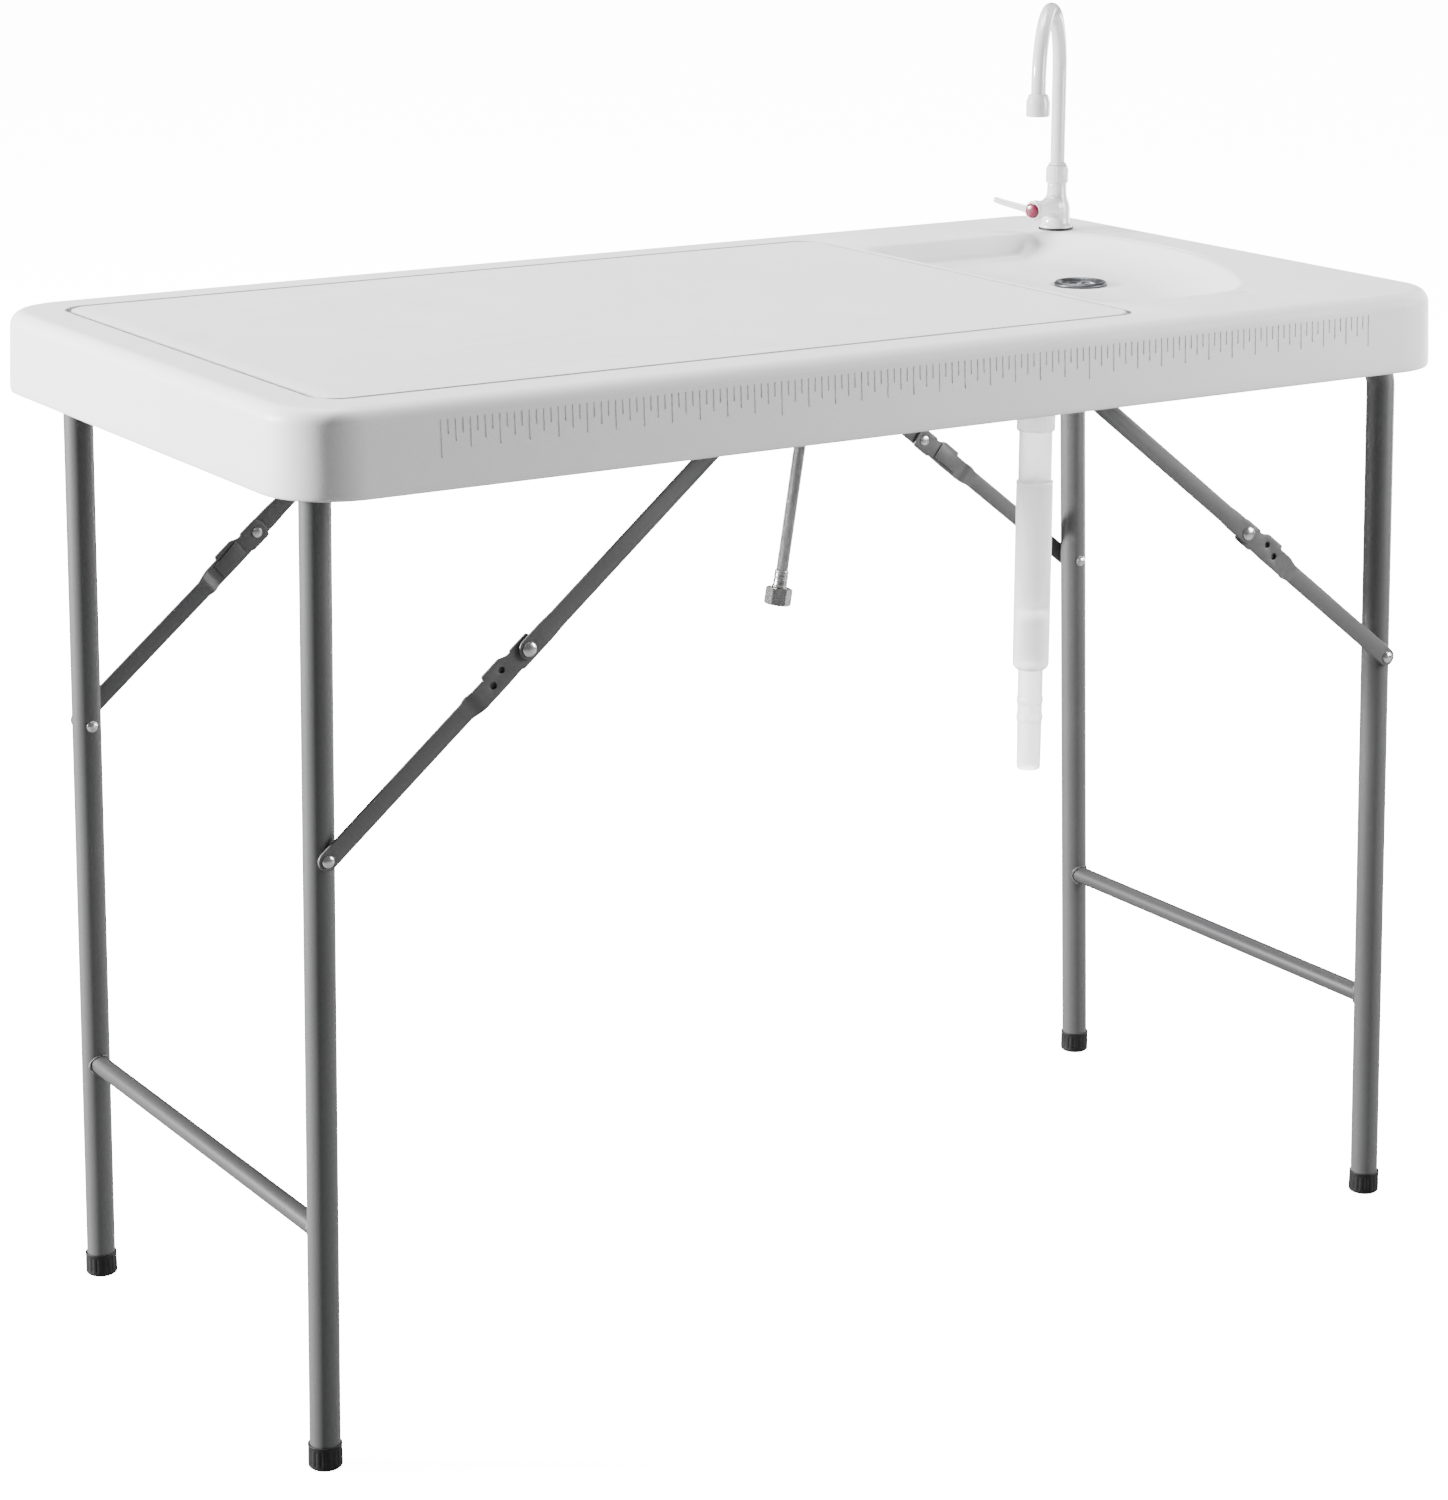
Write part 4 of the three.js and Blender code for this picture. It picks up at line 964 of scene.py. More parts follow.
def rail(side, fy):
    L, R = SIDES["left"], SIDES["right"]
    m = Mesh()

    def tab(x, z):
        out = [(x - 17, RAIL_Z0), (x - 13.5, RAIL_Z0 - 0.8), (x - 9.6, z - 3)]
        out += [(x + 9.5 * math.cos(t), z + 9.5 * math.sin(t)) for t in np.linspace(math.pi + 0.15, 2 * math.pi - 0.15, 15)]
        return out + [(x + 9.6, z - 3), (x + 13.5, RAIL_Z0 - 0.8), (x + 17, RAIL_Z0)]
    outline = [(-RAIL_L, RAIL_Z1 - 1.6), (-RAIL_L, RAIL_Z0)] + tab(-L["B"][0], L["B"][1]) + tab(R["B"][0], R["B"][1]) + [(RAIL_L, RAIL_Z0), (RAIL_L, RAIL_Z1 - 1.6)]
    holes = [circle(-L["B"][0], L["B"][1], HOLE_R, 24), circle(R["B"][0], R["B"][1], HOLE_R, 24)]
    web = prism(outline, holes, 0, STRAP_T, 0.35)
    m.join(web, Matrix(((1, 0, 0, 0), (0, 0, fy, fy * RAIL_Y), (0, 1, 0, 0), (0, 0, 0, 1))))
    # bend and flange, with slots for the screws
    sec = rounded([(0.0, RAIL_Z1 - 2.0), (0.0, RAIL_Z1), (24.0, RAIL_Z1), (24.0, RAIL_Z1 - STRAP_T), (STRAP_T, RAIL_Z1 - STRAP_T), (STRAP_T, RAIL_Z1 - 4.0), (0.0, RAIL_Z1 - 4.0)], [0, 2.2, .4, .4, .8, 0, 0], 4, closed=True)
    xs = [-RAIL_L, -RAIL_L + 0.4] + list(np.linspace(-RAIL_L + 6, RAIL_L - 6, 10)) + [RAIL_L - 0.4, RAIL_L]
    rings = []
    for x in xs:
        ends = abs(x) == RAIL_L
        S = loop_offset(sec, 0.3 if ends else 0.0)
        rings.append([(x, fy * (RAIL_Y + a), z) for a, z in S])
    strip(m, rings)
    for R_ in (rings[0], rings[-1]):
        P, T = fill([[(p[1], p[2]) for p in R_]])
        m.add([(R_[0][0], y, z) for y, z in P], [tuple(t) for t in T])
    for x in (-420, -300, -200, -30, 90, 250, 330, 425):
        m.join(screw_head(), Matrix.Translation((x, fy * (RAIL_Y + 13.5), RAIL_Z1 - STRAP_T)) @ Matrix.Rotation(math.pi, 4, "X"), mat=1)
    put("side_rail_" + side + "_formed", m, [COAT, ZINC], "root", ["side_rail_" + side], sharp=30)


rail("front", -1)
rail("back", 1)


# -------------------------------------------------------------- leg frames
def bump_sum(t, spots):
    return sum(h * math.exp(-((math.remainder(t - c, 2 * math.pi)) / w) ** 2) for c, w, h in spots)


def weld_bead(radius_in, radius_leg, seed, sign):
    """Bead where a bar (local Y axis, coming from -sign) meets an upright tube at the origin."""
    n = 64
    path, rad = [], []
    for i in range(n + 1):
        t = 2 * math.pi * i / n
        x, z = (radius_in + 0.5) * math.cos(t), (radius_in + 0.5) * math.sin(t)
        y = -sign * (math.sqrt(max(radius_leg ** 2 - x * x, 1)) + 0.2)
        path.append((x, y, z))
        k = seed + 0.7
        rad.append(0.85 + bump_sum(t, [(0.6 + k, 0.35, 1.3), (2.2 + k, 0.5, 1.0), (3.6 + k, 0.3, 1.5), (4.9 + k, 0.4, 1.1)]) + 0.16 * math.sin(11 * t + k) + 0.12 * math.sin(23 * t + 2 * k))
    return sweep(path, rad, 14, caps=False)


for side, s in SIDES.items():
    sg, off = s["sg"], s["off"]
    rig = Matrix.Translation((sg * s["px"], 0, s["pz"])) @ Matrix.Rotation(-sg * s["tilt"], 4, "Y")
    body = "legs_" + side

    def step(v):
        v = min(max(v, 0), 1)
        return v * v * (3 - 2 * v)

    def at(y, d):
        return (sg * off * step((d - 2) / 60.0), y, -d)
    end_d = (s["pz"] + off * math.sin(s["tilt"]) - 5.8) / math.cos(s["tilt"])
    half = [at(-LEG_Y, end_d), at(-LEG_Y, end_d * 0.66), at(-LEG_Y, end_d * 0.33), at(-LEG_Y, 90)]
    half += [at(-LEG_Y, d) for d in np.linspace(64, 40, 10)]
    for i in range(25):
        t = math.pi / 2 * i / 24
        half.append(at(-LEG_Y + 38 * (1 - math.cos(t)), 38 * (1 - math.sin(t))))
    mids = [(sg * off * step(-2 / 60), y, 0.0) for y in (-120.0, 0.0, 120.0)]
    full = half + mids + [(x, -y, z) for x, y, z in half[::-1]]
    tube = sweep(full, TUBE_R, 40, BORE).moved(rig)
    # crimped ring where the tube meets the foot cap stays hidden by the cap
    put("leg_frame_" + side + "_tube", tube, COAT, body, ["leg_frame_" + side], sharp=40)

    sd = (s["pz"] + off * math.sin(s["tilt"]) - s["spreader"]) / math.cos(s["tilt"])
    place = rig @ Matrix.Translation((sg * off, 0, -sd))
    ye = LEG_Y - TUBE_R + 3.2
    ys = [-ye, -ye + 12, -120, 0, 120, ye - 12, ye]
    bar = sweep([(0, y, 0) for y in ys], SPREADER_R, 36, 7.3)
    for k, fy in ((0.0, -1), (1.9, 1)):
        bar.join(weld_bead(SPREADER_R, TUBE_R, k + (0 if sg < 0 else 1.1), fy), Matrix.Translation((0, fy * LEG_Y, 0)), mat=1)
    # the spreader bar gets the half-bright copy of the powder coat: painted shade
    put("spreader_" + side + "_welded", bar.moved(place), [BAR_COAT_PAINTED_SHADE, WELD], body, ["spreader_" + side], sharp=40)

    for end_, fy in (("front", -1), ("back", 1)):
        # moulded foot with shallow flutes and a lip
        def flutes(t, r, z):
            if r < 13.8 or z < 3.4 or z > 18.2:
                return r
            k = min((z - 3.4) / 1.6, (18.2 - z) / 1.6, 1.0)
            return r - 0.55 * k * (0.5 - 0.5 * math.cos(18 * t)) ** 3
        prof = rounded([(0, 0), (12.6, 0), (14.15, 1.6), (14.2, 6), (13.95, 18.6), (14.15, 19.2), (14.15, 20.6), (13.4, 21.0), (12.95, 20.4), (12.95, 5), (0, 5)],
                       [0, 1.2, 1.4, 0, .3, .3, .5, .3, .3, 0, 0], 4)
        z_rows = [p for p in prof]
        dense = []
        for p0, p1 in zip(z_rows[:-1], z_rows[1:]):
            dense.append(p0)
            if abs(p1[1] - p0[1]) > 3 and p0[0] > 13.5:
                kk = int(abs(p1[1] - p0[1]) / 1.0)
                dense += [(p0[0] + (p1[0] - p0[0]) * q / kk, p0[1] + (p1[1] - p0[1]) * q / kk) for q in range(1, kk)]
        dense.append(z_rows[-1])
        cap = lathe(dense, 144, closed=False, mod=flutes)
        cap.moved(Matrix.Translation((sg * (s["foot"] - s["splay"] * 12), fy * LEG_Y, 0)))
        put("foot_cap_%s_%s_fluted" % (side, end_), cap, RUBBER, body, ["foot_cap_%s_%s" % (side, end_)], sharp=40)

        toward = Matrix.Rotation(-math.pi / 2 * fy, 4, "X")         # local +Z turned to fy * Y
        dx, dz = sg * s["D"][0], s["D"][1]
        tail = lathe(rounded([(0, 0.3), (5.2, 0.3), (5.2, 0.9), (4.2, 1.5), (3.3, 2.4), (1.2, 3.0), (0, 3.0)], [0, .2, .3, .5, .7, .6, 0], 4), 40, closed=False)
        tail.moved(Matrix.Translation((dx, fy * (LEG_Y - TUBE_R + 0.55), dz)) @ toward @ Matrix.Rotation(math.pi, 4, "X"))
        put("leg_rivet_%s_%s_tail" % (side, end_), tail, ZINC, body)

        # lower arm
        Lu, a = s["lower"], s["a"]
        ux, uz = -sg * math.cos(a), math.sin(a)
        base = Matrix(((ux, sg * uz, 0, 0), (0, 0, fy, 0), (uz, abs(ux), 0, 0), (0, 0, 0, 1)))

        def half_w(u):
            q = min(max((u - (Lu - 72)) / 9, 0), 1)
            return STRAP_HALF + (LOCK_HALF - STRAP_HALF) * q * q * (3 - 2 * q)
        low_side = [(u, -half_w(u)) for u in [10, Lu * 0.3, Lu * 0.6, Lu - 76] + list(np.linspace(Lu - 73, Lu - 50, 12)) + [Lu - 30]]
        low_side += [(Lu - 14.2, -LOCK_HALF + 0.5), (Lu - 13.2, -LOCK_HALF - 0.3), (Lu - 12.4, -LOCK_HALF - 0.8)]
        up_side = [(Lu - 12.2, LOCK_HALF + 0.9), (Lu - 12.8, LOCK_HALF + 0.2), (Lu - 13.6, LOCK_HALF - 0.6), (Lu - 16.5, LOCK_HALF - 0.4), (Lu - 19.5, LOCK_HALF + 0.8), (Lu - 22.5, LOCK_HALF + 2.6),
                   (Lu - 24.2, LOCK_HALF + 3.2), (Lu - 42.6, LOCK_HALF + 3.2), (Lu - 43.8, LOCK_HALF + 2.7), (Lu - 44.3, LOCK_HALF + 0.6), (Lu - 45.2, LOCK_HALF)]
        up_side += [(u, half_w(u)) for u in list(np.linspace(Lu - 50, Lu - 73, 12)) + [Lu - 76, Lu * 0.6, Lu * 0.3, 10]]
        arc0 = [(STRAP_HALF * math.cos(t), STRAP_HALF * math.sin(t)) for t in np.linspace(math.pi / 2, 1.5 * math.pi, 21)]
        corner_ = [(-2, 10.7), (6.2, 10.6), (7.2, 10.1), (7.9, 9.0), (9.2, 5.2), (9.7, 2.6)]
        arc1 = [(Lu + u, -v) for u, v in corner_] + [(Lu + 9.8, 0)] + [(Lu + u, v) for u, v in corner_[::-1]]
        outline = arc0 + low_side + arc1 + up_side
        lines = [[(u, -half_w(u) + 0.8), (u, half_w(u) - 0.8)] for u in np.linspace(Lu - 73, Lu - 50, 12)]
        arm = prism(outline, [circle(0, 0, HOLE_R, 24), circle(Lu, 0, HOLE_R, 24), circle(Lu - 41, 0, 3.0, 24), circle(Lu - 27.6, 4.2, 2.7, 24)], 0, STRAP_T, 0.55, 3, lines)
        arm.v = [(u, v, w + JOGGLE_Y * step((u - (Lu - 66.3)) / 10.3)) for u, v, w in arm.v]
        arm.join(prism([(Lu - 50, -6.8), (Lu - 20, -6.8), (Lu - 20, 9.6), (Lu - 50, 7.4)], [], JOGGLE_Y - 1.3, JOGGLE_Y - 0.15, 0.25))
        put("lower_arm_%s_%s_strap" % (side, end_), arm.moved(Matrix.Translation((dx, fy * LOWER_Y, dz)) @ base), COAT, "lower_%s_%s" % (side, end_),
            ["lower_arm_%s_%s" % (side, end_)], sharp=30)

        # upper arm, drawn from the knee up
        cx, cz = sg * s["C"][0], s["C"][1]
        Uu, H2 = s["upper"], STRAP_HALF + 0.8
        outline = [(H2 * math.cos(t), H2 * math.sin(t)) for t in np.linspace(math.pi / 2, 1.5 * math.pi, 21)] + [(20, -H2), (27, -STRAP_HALF - 0.4), (34, -STRAP_HALF)]
        outline += [(Uu + STRAP_HALF * math.cos(t), STRAP_HALF * math.sin(t)) for t in np.linspace(-math.pi / 2, math.pi / 2, 21)] + [(34, STRAP_HALF), (27, STRAP_HALF + 0.4), (20, H2)]
        arm = prism(outline, [circle(0, 0, HOLE_R, 24), circle(Uu, 0, HOLE_R, 24)], 0, STRAP_T, 0.55, 3)
        put("upper_arm_%s_%s_strap" % (side, end_), arm.moved(Matrix.Translation((cx, fy * UPPER_Y, cz)) @ base), COAT, "upper_%s_%s" % (side, end_),
            ["upper_arm_%s_%s" % (side, end_)], sharp=30)

        # rivets
        def dome(y, r, h, skirt=0.35):
            return [(r, y), (r, y + skirt)] + [(r * math.cos(t) * 0.985, y + skirt + (h - skirt) * math.sin(t)) for t in np.linspace(0.12, math.pi / 2, 12)]
        y0 = LOWER_Y + STRAP_T
        head = lathe([(0, LOWER_Y + 0.1), (PIN_R, LOWER_Y + 0.1), (PIN_R, y0 + 0.05), (5.1, y0 + 0.05)] + dome(y0 + 0.05, 5.3, 2.6), 40, closed=False)
        put("leg_rivet_head_%s_%s_domed" % (side, end_), head.moved(Matrix.Translation((dx, 0, dz)) @ toward), ZINC, "lower_%s_%s" % (side, end_),
            ["leg_rivet_head_%s_%s" % (side, end_)])
        k0, k1 = LOWER_Y + JOGGLE_Y - 0.05, UPPER_Y + STRAP_T + 0.05
        knee = lathe([(0, k0 - 1.9), (2.2, k0 - 1.9), (4.4, k0 - 1.5), (5.0, k0 - 0.6), (5.0, k0), (PIN_R, k0), (PIN_R, k1), (6.0, k1)] + dome(k1, 6.3, 2.6), 40, closed=False)
        put("knee_rivet_%s_%s_domed" % (side, end_), knee.moved(Matrix.Translation((cx, 0, cz)) @ toward), ZINC, "upper_%s_%s" % (side, end_),
            ["knee_rivet_%s_%s" % (side, end_)])
        r0, r1 = UPPER_Y - 0.05, RAIL_Y + STRAP_T + 0.05
        root = lathe([(0, r0 - 2.35), (2.6, r0 - 2.3), (5.2, r0 - 1.7), (6.2, r0 - 0.7), (6.4, r0), (PIN_R, r0), (PIN_R, r1), (5.9, r1), (5.9, r1 + 0.6), (5.3, r1 + 1.5), (4.3, r1 + 1.9), (3.3, r1 + 1.5), (2.6, r1 + 0.7), (1.6, r1 + 0.6), (0.9, r1 + 1.0), (0, r1 + 1.1)], 40, closed=False)
        put("root_rivet_%s_%s_headed" % (side, end_), root.moved(Matrix.Translation((sg * s["B"][0], 0, s["B"][1])) @ toward), ZINC, "root",
            ["root_rivet_%s_%s" % (side, end_)])

        # saddle bracket: a formed strap round the top bar with one screwed flange
        zt = 877.0 - 0.3
        h = zt - s["pz"]
        R0, R1 = TUBE_R + 0.6, TUBE_R + 3.0
        inner_line = [(-R0 - 0.4, h)] + [(R0 * math.cos(t) * (1.0 + 0.0), R0 * math.sin(t)) for t in np.linspace(math.pi, 2 * math.pi, 25)] + [(R0, h - 2.5 - 3.0), (R0 + 3.0, h - 0.02)]
        outer_line = [(-R1 - 0.9, h)] + [(R1 * math.cos(t), R1 * math.sin(t)) for t in np.linspace(math.pi, 2 * math.pi, 25)] + [(R1, h - 5.6), (R1 + 1.0, h - 3.2), (R1 + 3.2, h - 2.5), (30.0, h - 2.5), (30.0, h - 0.02)]
        outline = outer_line + inner_line[::-1]
        outline = [(sg * x, z) for x, z in outline]
        if sg < 0:
            outline = outline[::-1]
        br = prism(outline, [], -13, 13, 0.45)
        br.moved(Matrix(((1, 0, 0, 0), (0, 0, -1, 0), (0, 1, 0, 0), (0, 0, 0, 1))))
        br.moved(Matrix.Translation((sg * s["px"], fy * 150, s["pz"])))
        for yy in (-7, 7):
            br.join(screw_head(4.0, 1.8), Matrix.Translation((sg * (s["px"] + 23.5), fy * 150 + yy, zt - 2.5)) @ Matrix.Rotation(math.pi, 4, "X"), mat=1)
        put("pivot_bracket_%s_%s_saddle" % (side, end_), br, [COAT, ZINC], "root", ["pivot_bracket_%s_%s" % (side, end_)], sharp=30)

# -------------------------------------------------------------------- drain
drain_at = Matrix.Translation((DRAIN_X, 0, 0))
pipe_at = Matrix.Translation((PIPE_X, 0, 0))
F = SINK_Z
rim = lathe(rounded([(24.5, F + 0.2), (24.5, F + 1.5), (22.8, F + 3.3), (20.2, F + 3.1), (16.7, F - 1.4), (14.25, F - 5), (14.2, F - 29), (16.5, F - 29), (16.5, F + 0.2)],
                    [.2, .9, .9, 1.6, 2.0, 1.5, .3, .3, .3], 5, closed=True), 72)
for k in range(12):
    z = F - 27.6 + 1.5 * k
    if z < F - 16.5 or z > F - 8:
        rim.join(lathe([(16.5, z), (16.85, z + 0.4), (16.5, z + 0.8)], 48, closed=False))
put("drain_rim_flanged", rim.moved(drain_at), CHROME, "root", ["drain_rim", "drain_tailpiece"])


def strainer():
    m = Mesh()
    # cup profile by radius; holes are pierced through it in rings
    def zr(r, lower=0.0):
        pts = [(3.0, F - 11.2), (7.6, F - 11.2), (9.0, F - 10.2), (12.4, F - 4.2), (14.0, F - 1.4), (15.4, F - 0.8)]
        x = [p[0] for p in pts]
        y = [p[1] for p in pts]
        return float(np.interp(r, x, y)) - lower
    loops = [circle(0, 0, 15.3, 64), circle(0, 0, 3.0, 24)]
    holes = []
    for R_, n_, r_ in ((5.4, 8, 0.85), (9.6, 14, 0.9), (12.0, 18, 0.85)):
        for i in range(n_):
            t = 2 * math.pi * (i + 0.5 * (n_ % 4 == 2)) / n_
            holes.append(circle(R_ * math.cos(t), R_ * math.sin(t), r_, 10))
    rings_ = [circle(0, 0, r, 64) for r in (7.6, 9.0, 14.0)]
    lines = [[*L, L[0]] for L in rings_]
    for low in (0.0, 0.9):
        P, T = fill(loops + holes, lines if low == 0.0 else lines)
        m.add([(x, y, zr(math.hypot(x, y), low)) for x, y in P], [tuple(t) for t in T])
    for L in loops + holes:
        strip(m, [[(x, y, zr(math.hypot(x, y), 0.0)) for x, y in L], [(x, y, zr(math.hypot(x, y), 0.9)) for x, y in L]])
    m.join(lathe(rounded([(0, F - 12.8), (3.2, F - 12.8), (3.2, F - 10.8), (2.4, F - 9.6), (2.2, F - 1.2), (3.6, F + 0.1), (3.6, F + 1.2), (2.6, F + 1.8), (0, F + 1.8)],
                         [0, .3, .3, .4, .6, .5, .4, .5, 0], 4), 36, closed=False))
    return m


put("drain_strainer_pierced", strainer().moved(drain_at), CHROME, "strainer", ["drain_strainer"], sharp=35)


def lugs(count, depth, r_from, share=0.5):
    def f(t, r, z):
        if r < r_from:
            return r
        c = 0.5 + 0.5 * math.cos(count * t)
        return r - depth * (1 - min(1.0, (c / share) ** 1.5))
    return f


locknut = lathe(rounded([(16.9, F - 15), (24.6, F - 15), (26, F - 13.8), (26, F - 7.6), (25, F - 6.3), (16.9, F - 6.3)], [.3, .6, .8, .8, .6, .3], 3, closed=True), 192, mod=lugs(8, 3.2, 20, 0.55))
put("drain_locknut_lugged", locknut.moved(drain_at), PE, "root", ["drain_locknut"], sharp=38)

z0, z1, ddx, run = F - 29.3, 749.1, DRAIN_X - PIPE_X, 72.0
lead = (z0 - z1 - run) / 2
half_a = math.atan2(ddx, run)
ang = 2 * half_a
rho = ddx / 2 / (1 - math.cos(ang))
line = [(DRAIN_X, 0, z0), (DRAIN_X, 0, z0 - lead / 2)]
line += [(DRAIN_X - rho * (1 - math.cos(ang * i / 16)), 0, z0 - lead - rho * math.sin(ang * i / 16)) for i in range(17)]
line += [(PIPE_X + rho * (1 - math.cos(ang * i / 16)), 0, z1 + lead + rho * math.sin(ang * i / 16)) for i in range(15, -1, -1)]
line += [(PIPE_X, 0, z1 + lead / 2), (PIPE_X, 0, z1)]
elbow = sweep(line, 16.7, 40, 14.0)
elbow.join(lathe(rounded([(16.4, z0 - 6.5), (17.0, z0 - 5.6), (17.0, z0 - 0.2), (16.0, z0), (14.1, z0)], [0, .4, .5, .4, 0], 3), 56, closed=False), drain_at)
elbow.join(lathe(rounded([(16.4, z1 + 6.5), (17.0, z1 + 5.6), (17.0, z1 + 0.3), (16.0, z1), (14.1, z1)], [0, .4, .5, .4, 0], 3), 56, closed=False), pipe_at)
put("drain_offset_elbow_moulded", elbow, PE, "root", ["drain_offset_elbow"], sharp=40)

slip = lathe(rounded([(15.9, 731), (17.4, 731), (17.9, 731.8), (17.9, 747.6), (17.3, 748.8), (15.9, 748.8)], [.3, .3, .4, .4, .3, .3], 3, closed=True), 200, mod=lugs(20, 0.35, 17.2, 0.7))
put("drain_slip_nut_ribbed", slip.moved(pipe_at), PE, "root", ["drain_slip_nut"], sharp=42)
upper = lathe(rounded([(13.5, 562), (15.3, 562), (15.5, 563), (15.5, 748.8), (13.5, 748.8)], [.3, .4, 0, .3, .3], 3, closed=True), 56)
put("drain_upper_tube_smooth", upper.moved(pipe_at), PE, "root", ["drain_upper_tube"])
sleeve = lathe(rounded([(13.1, 502.3), (14.4, 502.3), (16.9, 505.4), (17.2, 511), (17.2, 660), (17.2, 676.5), (16.9, 677.2), (16.9, 679.2), (17.2, 680), (17.2, 683), (15.85, 683), (15.85, 513), (13.1, 509)],
                        [.5, 1.6, 3.0, 0, 0, .3, .3, .3, .3, .5, .3, 2, .8], 6, closed=True), 64)
put("drain_sleeve_smooth", sleeve.moved(pipe_at), PE, "drain_sleeve", ["drain_sleeve"])
spigot = lathe(rounded([(9.9, 404), (10.7, 404), (11.3, 407), (11.6, 450.5), (12.5, 453), (12.5, 456), (11.7, 458.5), (11.7, 467.5), (12.5, 470), (12.5, 473), (11.8, 475.5), (11.8, 548), (9.9, 548)],
                        [.4, .7, 1.5, .8, .9, .9, .8, .8, .9, .9, .8, .4, .4], 4, closed=True), 56)
put("drain_spigot_ribbed", spigot.moved(pipe_at), PE, "drain_spigot", ["drain_spigot"])

# ------------------------------------------------------------------- faucet
T0 = TOP_Z
faucet_at = Matrix.Translation((FX, FY, 0))
hub_dir = Vector((-0.92, -0.38, 0)).normalized()
HUB_Z = 905.5
gasket = lathe(rounded([(11, T0 + 0.05), (17, T0 + 0.05), (17, T0 + 1.9), (11, T0 + 1.9)], .4, 3, closed=True), 64)
put("faucet_gasket_ring", gasket.moved(faucet_at), RUBBER, "root", ["faucet_gasket"])
prof = smooth_path([(16.3, T0 + 4.0, 0), (14.6, T0 + 6.2, 0), (13.5, T0 + 10, 0), (13.4, T0 + 16, 0), (13.2, T0 + 20.5, 0), (12.2, T0 + 25.5, 0), (10.6, T0 + 30, 0), (9.7, T0 + 34.5, 0), (9.35, T0 + 40, 0), (9.3, T0 + 44.4, 0)], 5)
prof = [(0, 838)] + rounded([(0, 838), (9.3, 838), (10, 839.2), (10, T0 + 1.9), (15.9, T0 + 1.9), (16.4, T0 + 2.6), (16.3, T0 + 4.0)], [0, .3, .3, 0, .4, .4, 0], 3)[1:] + [(x, y) for x, y, _ in prof[1:]] + [(8.9, T0 + 45.2), (0, T0 + 45.2)]
shell_ = lathe(prof, 64, closed=False)
hub_m = aim(hub_dir, (0, 0, HUB_Z))
shell_.join(lathe(rounded([(0, 4), (12.6, 6), (10.6, 12.5), (9.3, 14.5), (8.9, 16.5), (8.2, 20), (8.1, 34.5), (7.6, 36.4), (0, 36.4)], [0, 0, 2.5, 1.2, 1.2, 1.5, .6, .6, 0], 5), 56, closed=False), hub_m)
for k in range(10):
    zz = 842 + 2.2 * k
    shell_.join(lathe([(10, zz), (10.45, zz + 0.55), (10.45, zz + 0.8), (10, zz + 1.35)], 48, closed=False))
put("faucet_body_turned", shell_.moved(faucet_at), ABS, "root", ["faucet_body"], sharp=40)
collar = lathe(rounded([(7.2, T0 + 45.4), (10.2, T0 + 45.4), (10.9, T0 + 46.6), (10.9, T0 + 58.6), (9.4, T0 + 62.3), (7.2, T0 + 62.5)], [.3, .5, .8, 2.2, .8, .3], 4, closed=True), 160,
               mod=lambda t, r, z: r - (0.32 * (0.5 - 0.5 * math.cos(20 * t)) ** 4 if r > 10.6 and T0 + 47.5 < z < T0 + 59 else 0))
put("faucet_collar_fluted", collar.moved(faucet_at), ABS, "root", ["faucet_collar"], sharp=40)
sd_ = Vector((-0.715, -0.699, 0)).normalized()
R_ = 64.0
zc = 1100 - R_
pts = [(0, 0, T0 + 45.6), (0, 0, T0 + 90), (0, 0, T0 + 130)] + [(sd_.x * R_ * (1 - math.cos(t)), sd_.y * R_ * (1 - math.cos(t)), zc + R_ * math.sin(t)) for t in np.linspace(0, math.pi, 49)] + [(sd_.x * 2 * R_, sd_.y * 2 * R_, 1027)]
spout = sweep(pts, 6.9, 36, 4.6)
spout.join(lathe(rounded([(6.8, T0 + 62.8), (8.6, T0 + 62.8), (8.6, T0 + 64.2), (6.8, T0 + 65.4)], [0, .4, .6, 0], 3), 48, closed=False))
put("faucet_spout_arched", spout.moved(faucet_at), ABS, "spout", ["faucet_spout"], sharp=40)
aer = lathe(rounded([(6, 1006.3), (10.4, 1006.3), (11.2, 1007.3), (11.2, 1020.2), (9.2, 1026.4), (6.6, 1027.4), (4.7, 1027.4), (4.7, 1020), (6, 1018)], [.4, .5, .6, 1.6, 1.0, .4, .3, .3, .3], 4, closed=True), 160,
            mod=lambda t, r, z: r - (0.28 * (0.5 - 0.5 * math.cos(24 * t)) ** 3 if r > 11.0 and 1009 < z < 1019 else 0))
# wire screen inside the outlet
for k in range(-4, 5):
    w = math.sqrt(max(5.9 ** 2 - (1.25 * k) ** 2, 0.1))
    aer.join(sweep([(-w, 1.25 * k, 1008.2), (w, 1.25 * k, 1008.2)], 0.16, 6), mat=1)
    aer.join(sweep([(1.25 * k, -w, 1008.5), (1.25 * k, w, 1008.5)], 0.16, 6), mat=1)
put("faucet_aerator_screen", aer.moved(faucet_at @ Matrix.Translation((sd_.x * 2 * R_, sd_.y * 2 * R_, 0))), [ABS, NICKEL], "spout", ["faucet_aerator"], sharp=40)
lev = lathe(rounded([(0, 36.9), (8.9, 36.9), (9.6, 37.8), (9.6, 43.9), (8.4, 45.6), (7.2, 45.6), (7.0, 44.9), (0, 44.9)], [0, .5, .6, 1.2, .6, .2, .2, 0], 4), 64, closed=False).moved(hub_m)
side_dir = Vector((hub_dir.y, -hub_dir.x, 0))
ups = [(4, 0.0), (9, 0.06), (16, 0.11), (26, 0.13), (36, 0.14), (44, 0.155), (47.5, 0.165)]
lp = [tuple(hub_dir * 41 + side_dir * d * math.cos(u) + Vector((0, 0, d * math.sin(u) + HUB_Z))) for d, u in ups]
lp = smooth_path(lp, 6)
n_ = len(lp)
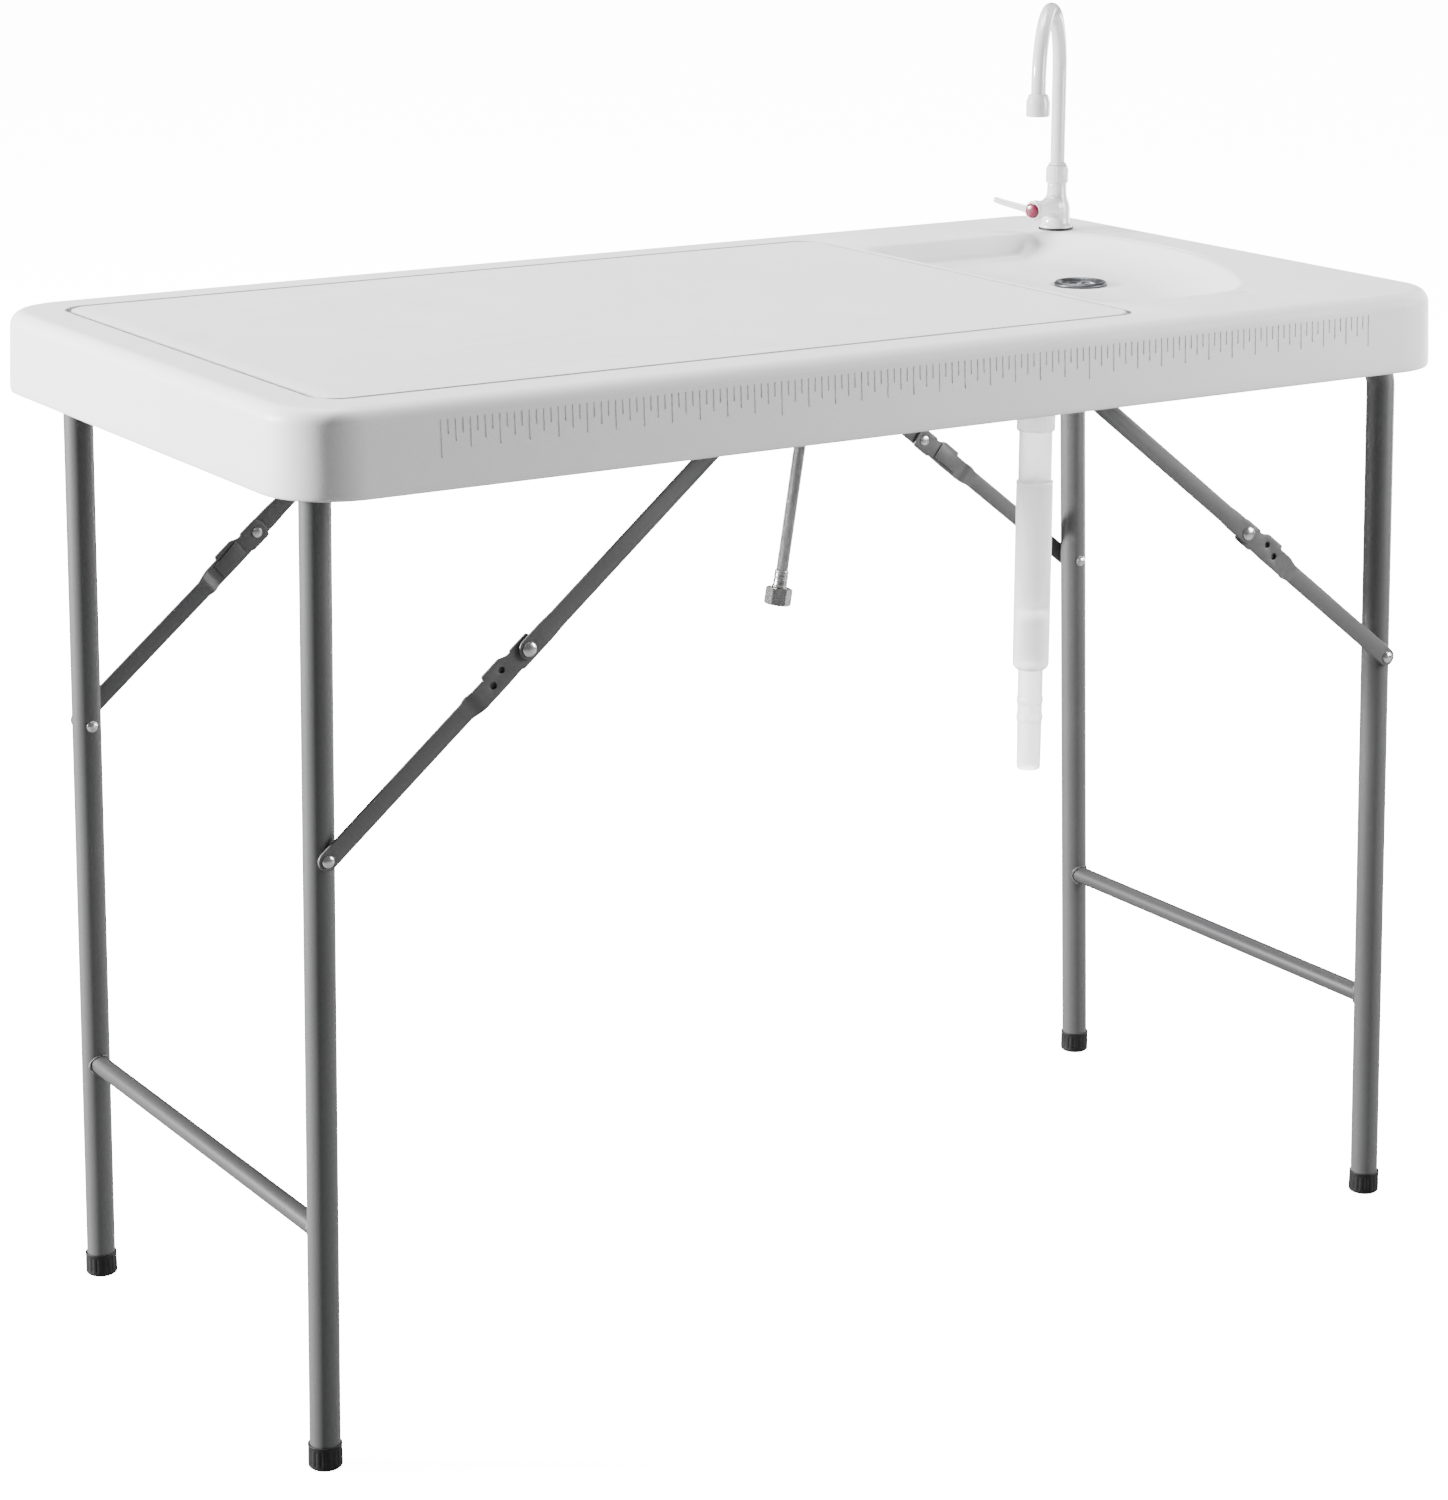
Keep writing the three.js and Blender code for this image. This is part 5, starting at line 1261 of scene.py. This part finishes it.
rr = [3.9 - 1.1 * (i / (n_ - 1)) ** 0.8 if i < n_ - 5 else 2.8 * math.sqrt(max(1 - ((i - (n_ - 5)) / 4.2) ** 2, 0.03)) for i in range(n_)]
lev.join(sweep(lp, rr, 28))
put("faucet_lever_handle", lev.moved(faucet_at), ABS, "lever", ["faucet_lever"], sharp=40)
dot = lathe(rounded([(0, 45.4), (6.9, 45.4), (6.9, 46.4), (5.6, 47.6), (2.6, 48.2), (0, 48.3)], [0, .2, .5, 1.5, 2, 0], 4), 56, closed=False).moved(hub_m)
put("faucet_indicator_button", dot.moved(faucet_at), RED, "lever", ["faucet_indicator"])
shank = hex_nut(28.4, 877 - 10.5, 877 - 2.2, 10.5, 0.8)
shank.join(lathe(rounded([(10.5, 874.6), (16.2, 874.6), (16.2, 876.7), (10.5, 876.7)], .4, 2, closed=True), 56))
put("faucet_shank_nut_hex", shank.moved(faucet_at), ABS, "root", ["faucet_shank_nut"], sharp=25)

# hose clip: a bent strip round the hose, screwed under the panel
zc_, zt_ = 861.5, 876.7
cl_out, cl_in = [], []
for t in np.linspace(math.pi / 2 + 0.42, math.pi / 2 + 2 * math.pi - 0.42, 41):
    cl_out.append((8.5 * math.cos(t), 8.5 * math.sin(t)))
ro = rounded([(-11, zt_ - zc_), (-11, zt_ - zc_ - 1.9), (-3.5, zt_ - zc_ - 1.9)], [.4, .4, 0], 3)
outline = [(-11.0, zt_ - zc_), (-11.0, zt_ - zc_ - 1.9), (-3.5, zt_ - zc_ - 1.9)] + cl_out + [(3.5, zt_ - zc_ - 1.9), (11.0, zt_ - zc_ - 1.9), (11.0, zt_ - zc_)]
clip_m = prism(outline, [circle(0, 0, 6.7, 40)], -6, 6, 0.4)
clip_m.moved(Matrix(((0, 0, 1, 0), (1, 0, 0, 0), (0, 1, 0, 0), (0, 0, 0, 1))))
clip_m.moved(Matrix.Translation((298, 205, zc_)))
put("hose_clip_bent", clip_m, NICKEL, "root", ["hose_clip"], sharp=30)

# -------------------------------------------------------- floor and lights
def stage_material():
    p = Paint("studio_floor", (0.2, 0.2, 0.201), 0.7)
    p.tint(p.ramp(p.noise(3.0, 2.0), 0.3, 0.7), (0.197, 0.197, 0.198), (0.203, 0.203, 0.204))
    # seen directly, the floor is as bright as a lit studio cove
    glow = p.new("ShaderNodeEmission")
    glow.inputs["Strength"].default_value = 14
    total = glow.outputs[0]
    for _ in range(2):
        d = p.new("ShaderNodeBsdfDiffuse")
        d.inputs["Color"].default_value = (0.9, 0.9, 0.9, 1)
        both = p.new("ShaderNodeAddShader")
        p.link(total, both.inputs[0])
        p.link(d.outputs[0], both.inputs[1])
        total = both.outputs[0]
    pick = p.new("ShaderNodeMixShader")
    path = p.new("ShaderNodeLightPath")
    p.link(p.math("MAXIMUM", path.outputs["Is Camera Ray"], path.outputs["Is Transmission Ray"]), pick.inputs[0])
    p.link(p.b.outputs[0], pick.inputs[1])
    p.link(total, pick.inputs[2])
    # from beneath, the floor is clear
    side_seen = p.new("ShaderNodeMixShader")
    p.link(p.new("ShaderNodeNewGeometry").outputs["Backfacing"], side_seen.inputs[0])
    p.link(pick.outputs[0], side_seen.inputs[1])
    p.link(p.new("ShaderNodeBsdfTransparent").outputs[0], side_seen.inputs[2])
    p.link(side_seen.outputs[0], p.t.nodes["Material Output"].inputs["Surface"])
    return p.m


def stage_floor():
    me = bpy.data.meshes.new("studio_floor")
    S = 30.0
    me.from_pydata([(-S, -S, 0), (S, -S, 0), (S, S, 0), (-S, S, 0)], [], [(0, 1, 2, 3)])
    ob = bpy.data.objects.new("studio_floor", me)
    bpy.context.scene.collection.objects.link(ob)
    me.materials.append(stage_material())


stage_floor()


def lamp(name, at, toward, size, power, color=(1, 1, 1)):
    d = bpy.data.lights.new(name, "AREA")
    d.shape, d.size, d.size_y = "RECTANGLE", size[0], size[1]
    d.energy, d.color = power, color
    o = bpy.data.objects.new(name, d)
    o.location = at
    o.rotation_mode = "QUATERNION"
    o.rotation_quaternion = (Vector(toward) - Vector(at)).to_track_quat("-Z", "Y")
    bpy.context.scene.collection.objects.link(o)


lamp("left_back", (-4.6, 2.3, 1.95), (-0.1, 0, 0.8), (0.55, 0.55), 1350)
lamp("right_front", (1.95, -1.6, 1.35), (0.3, -0.1, 0.7), (1.0, 1.4), 94)
lamp("right_rim", (3.0, 0.7, 0.8), (0.3, 0, 0.55), (1.4, 1.6), 70)
lamp("top", (0.5, 1.3, 5.0), (0.05, -0.05, 0.8), (2.6, 2.4), 440)
world = bpy.data.worlds.new("studio")
world.use_nodes = True
world.node_tree.nodes["Background"].inputs["Color"].default_value = (1.0, 1.0, 1.0, 1)
world.node_tree.nodes["Background"].inputs["Strength"].default_value = 0.19
bpy.context.scene.world = world
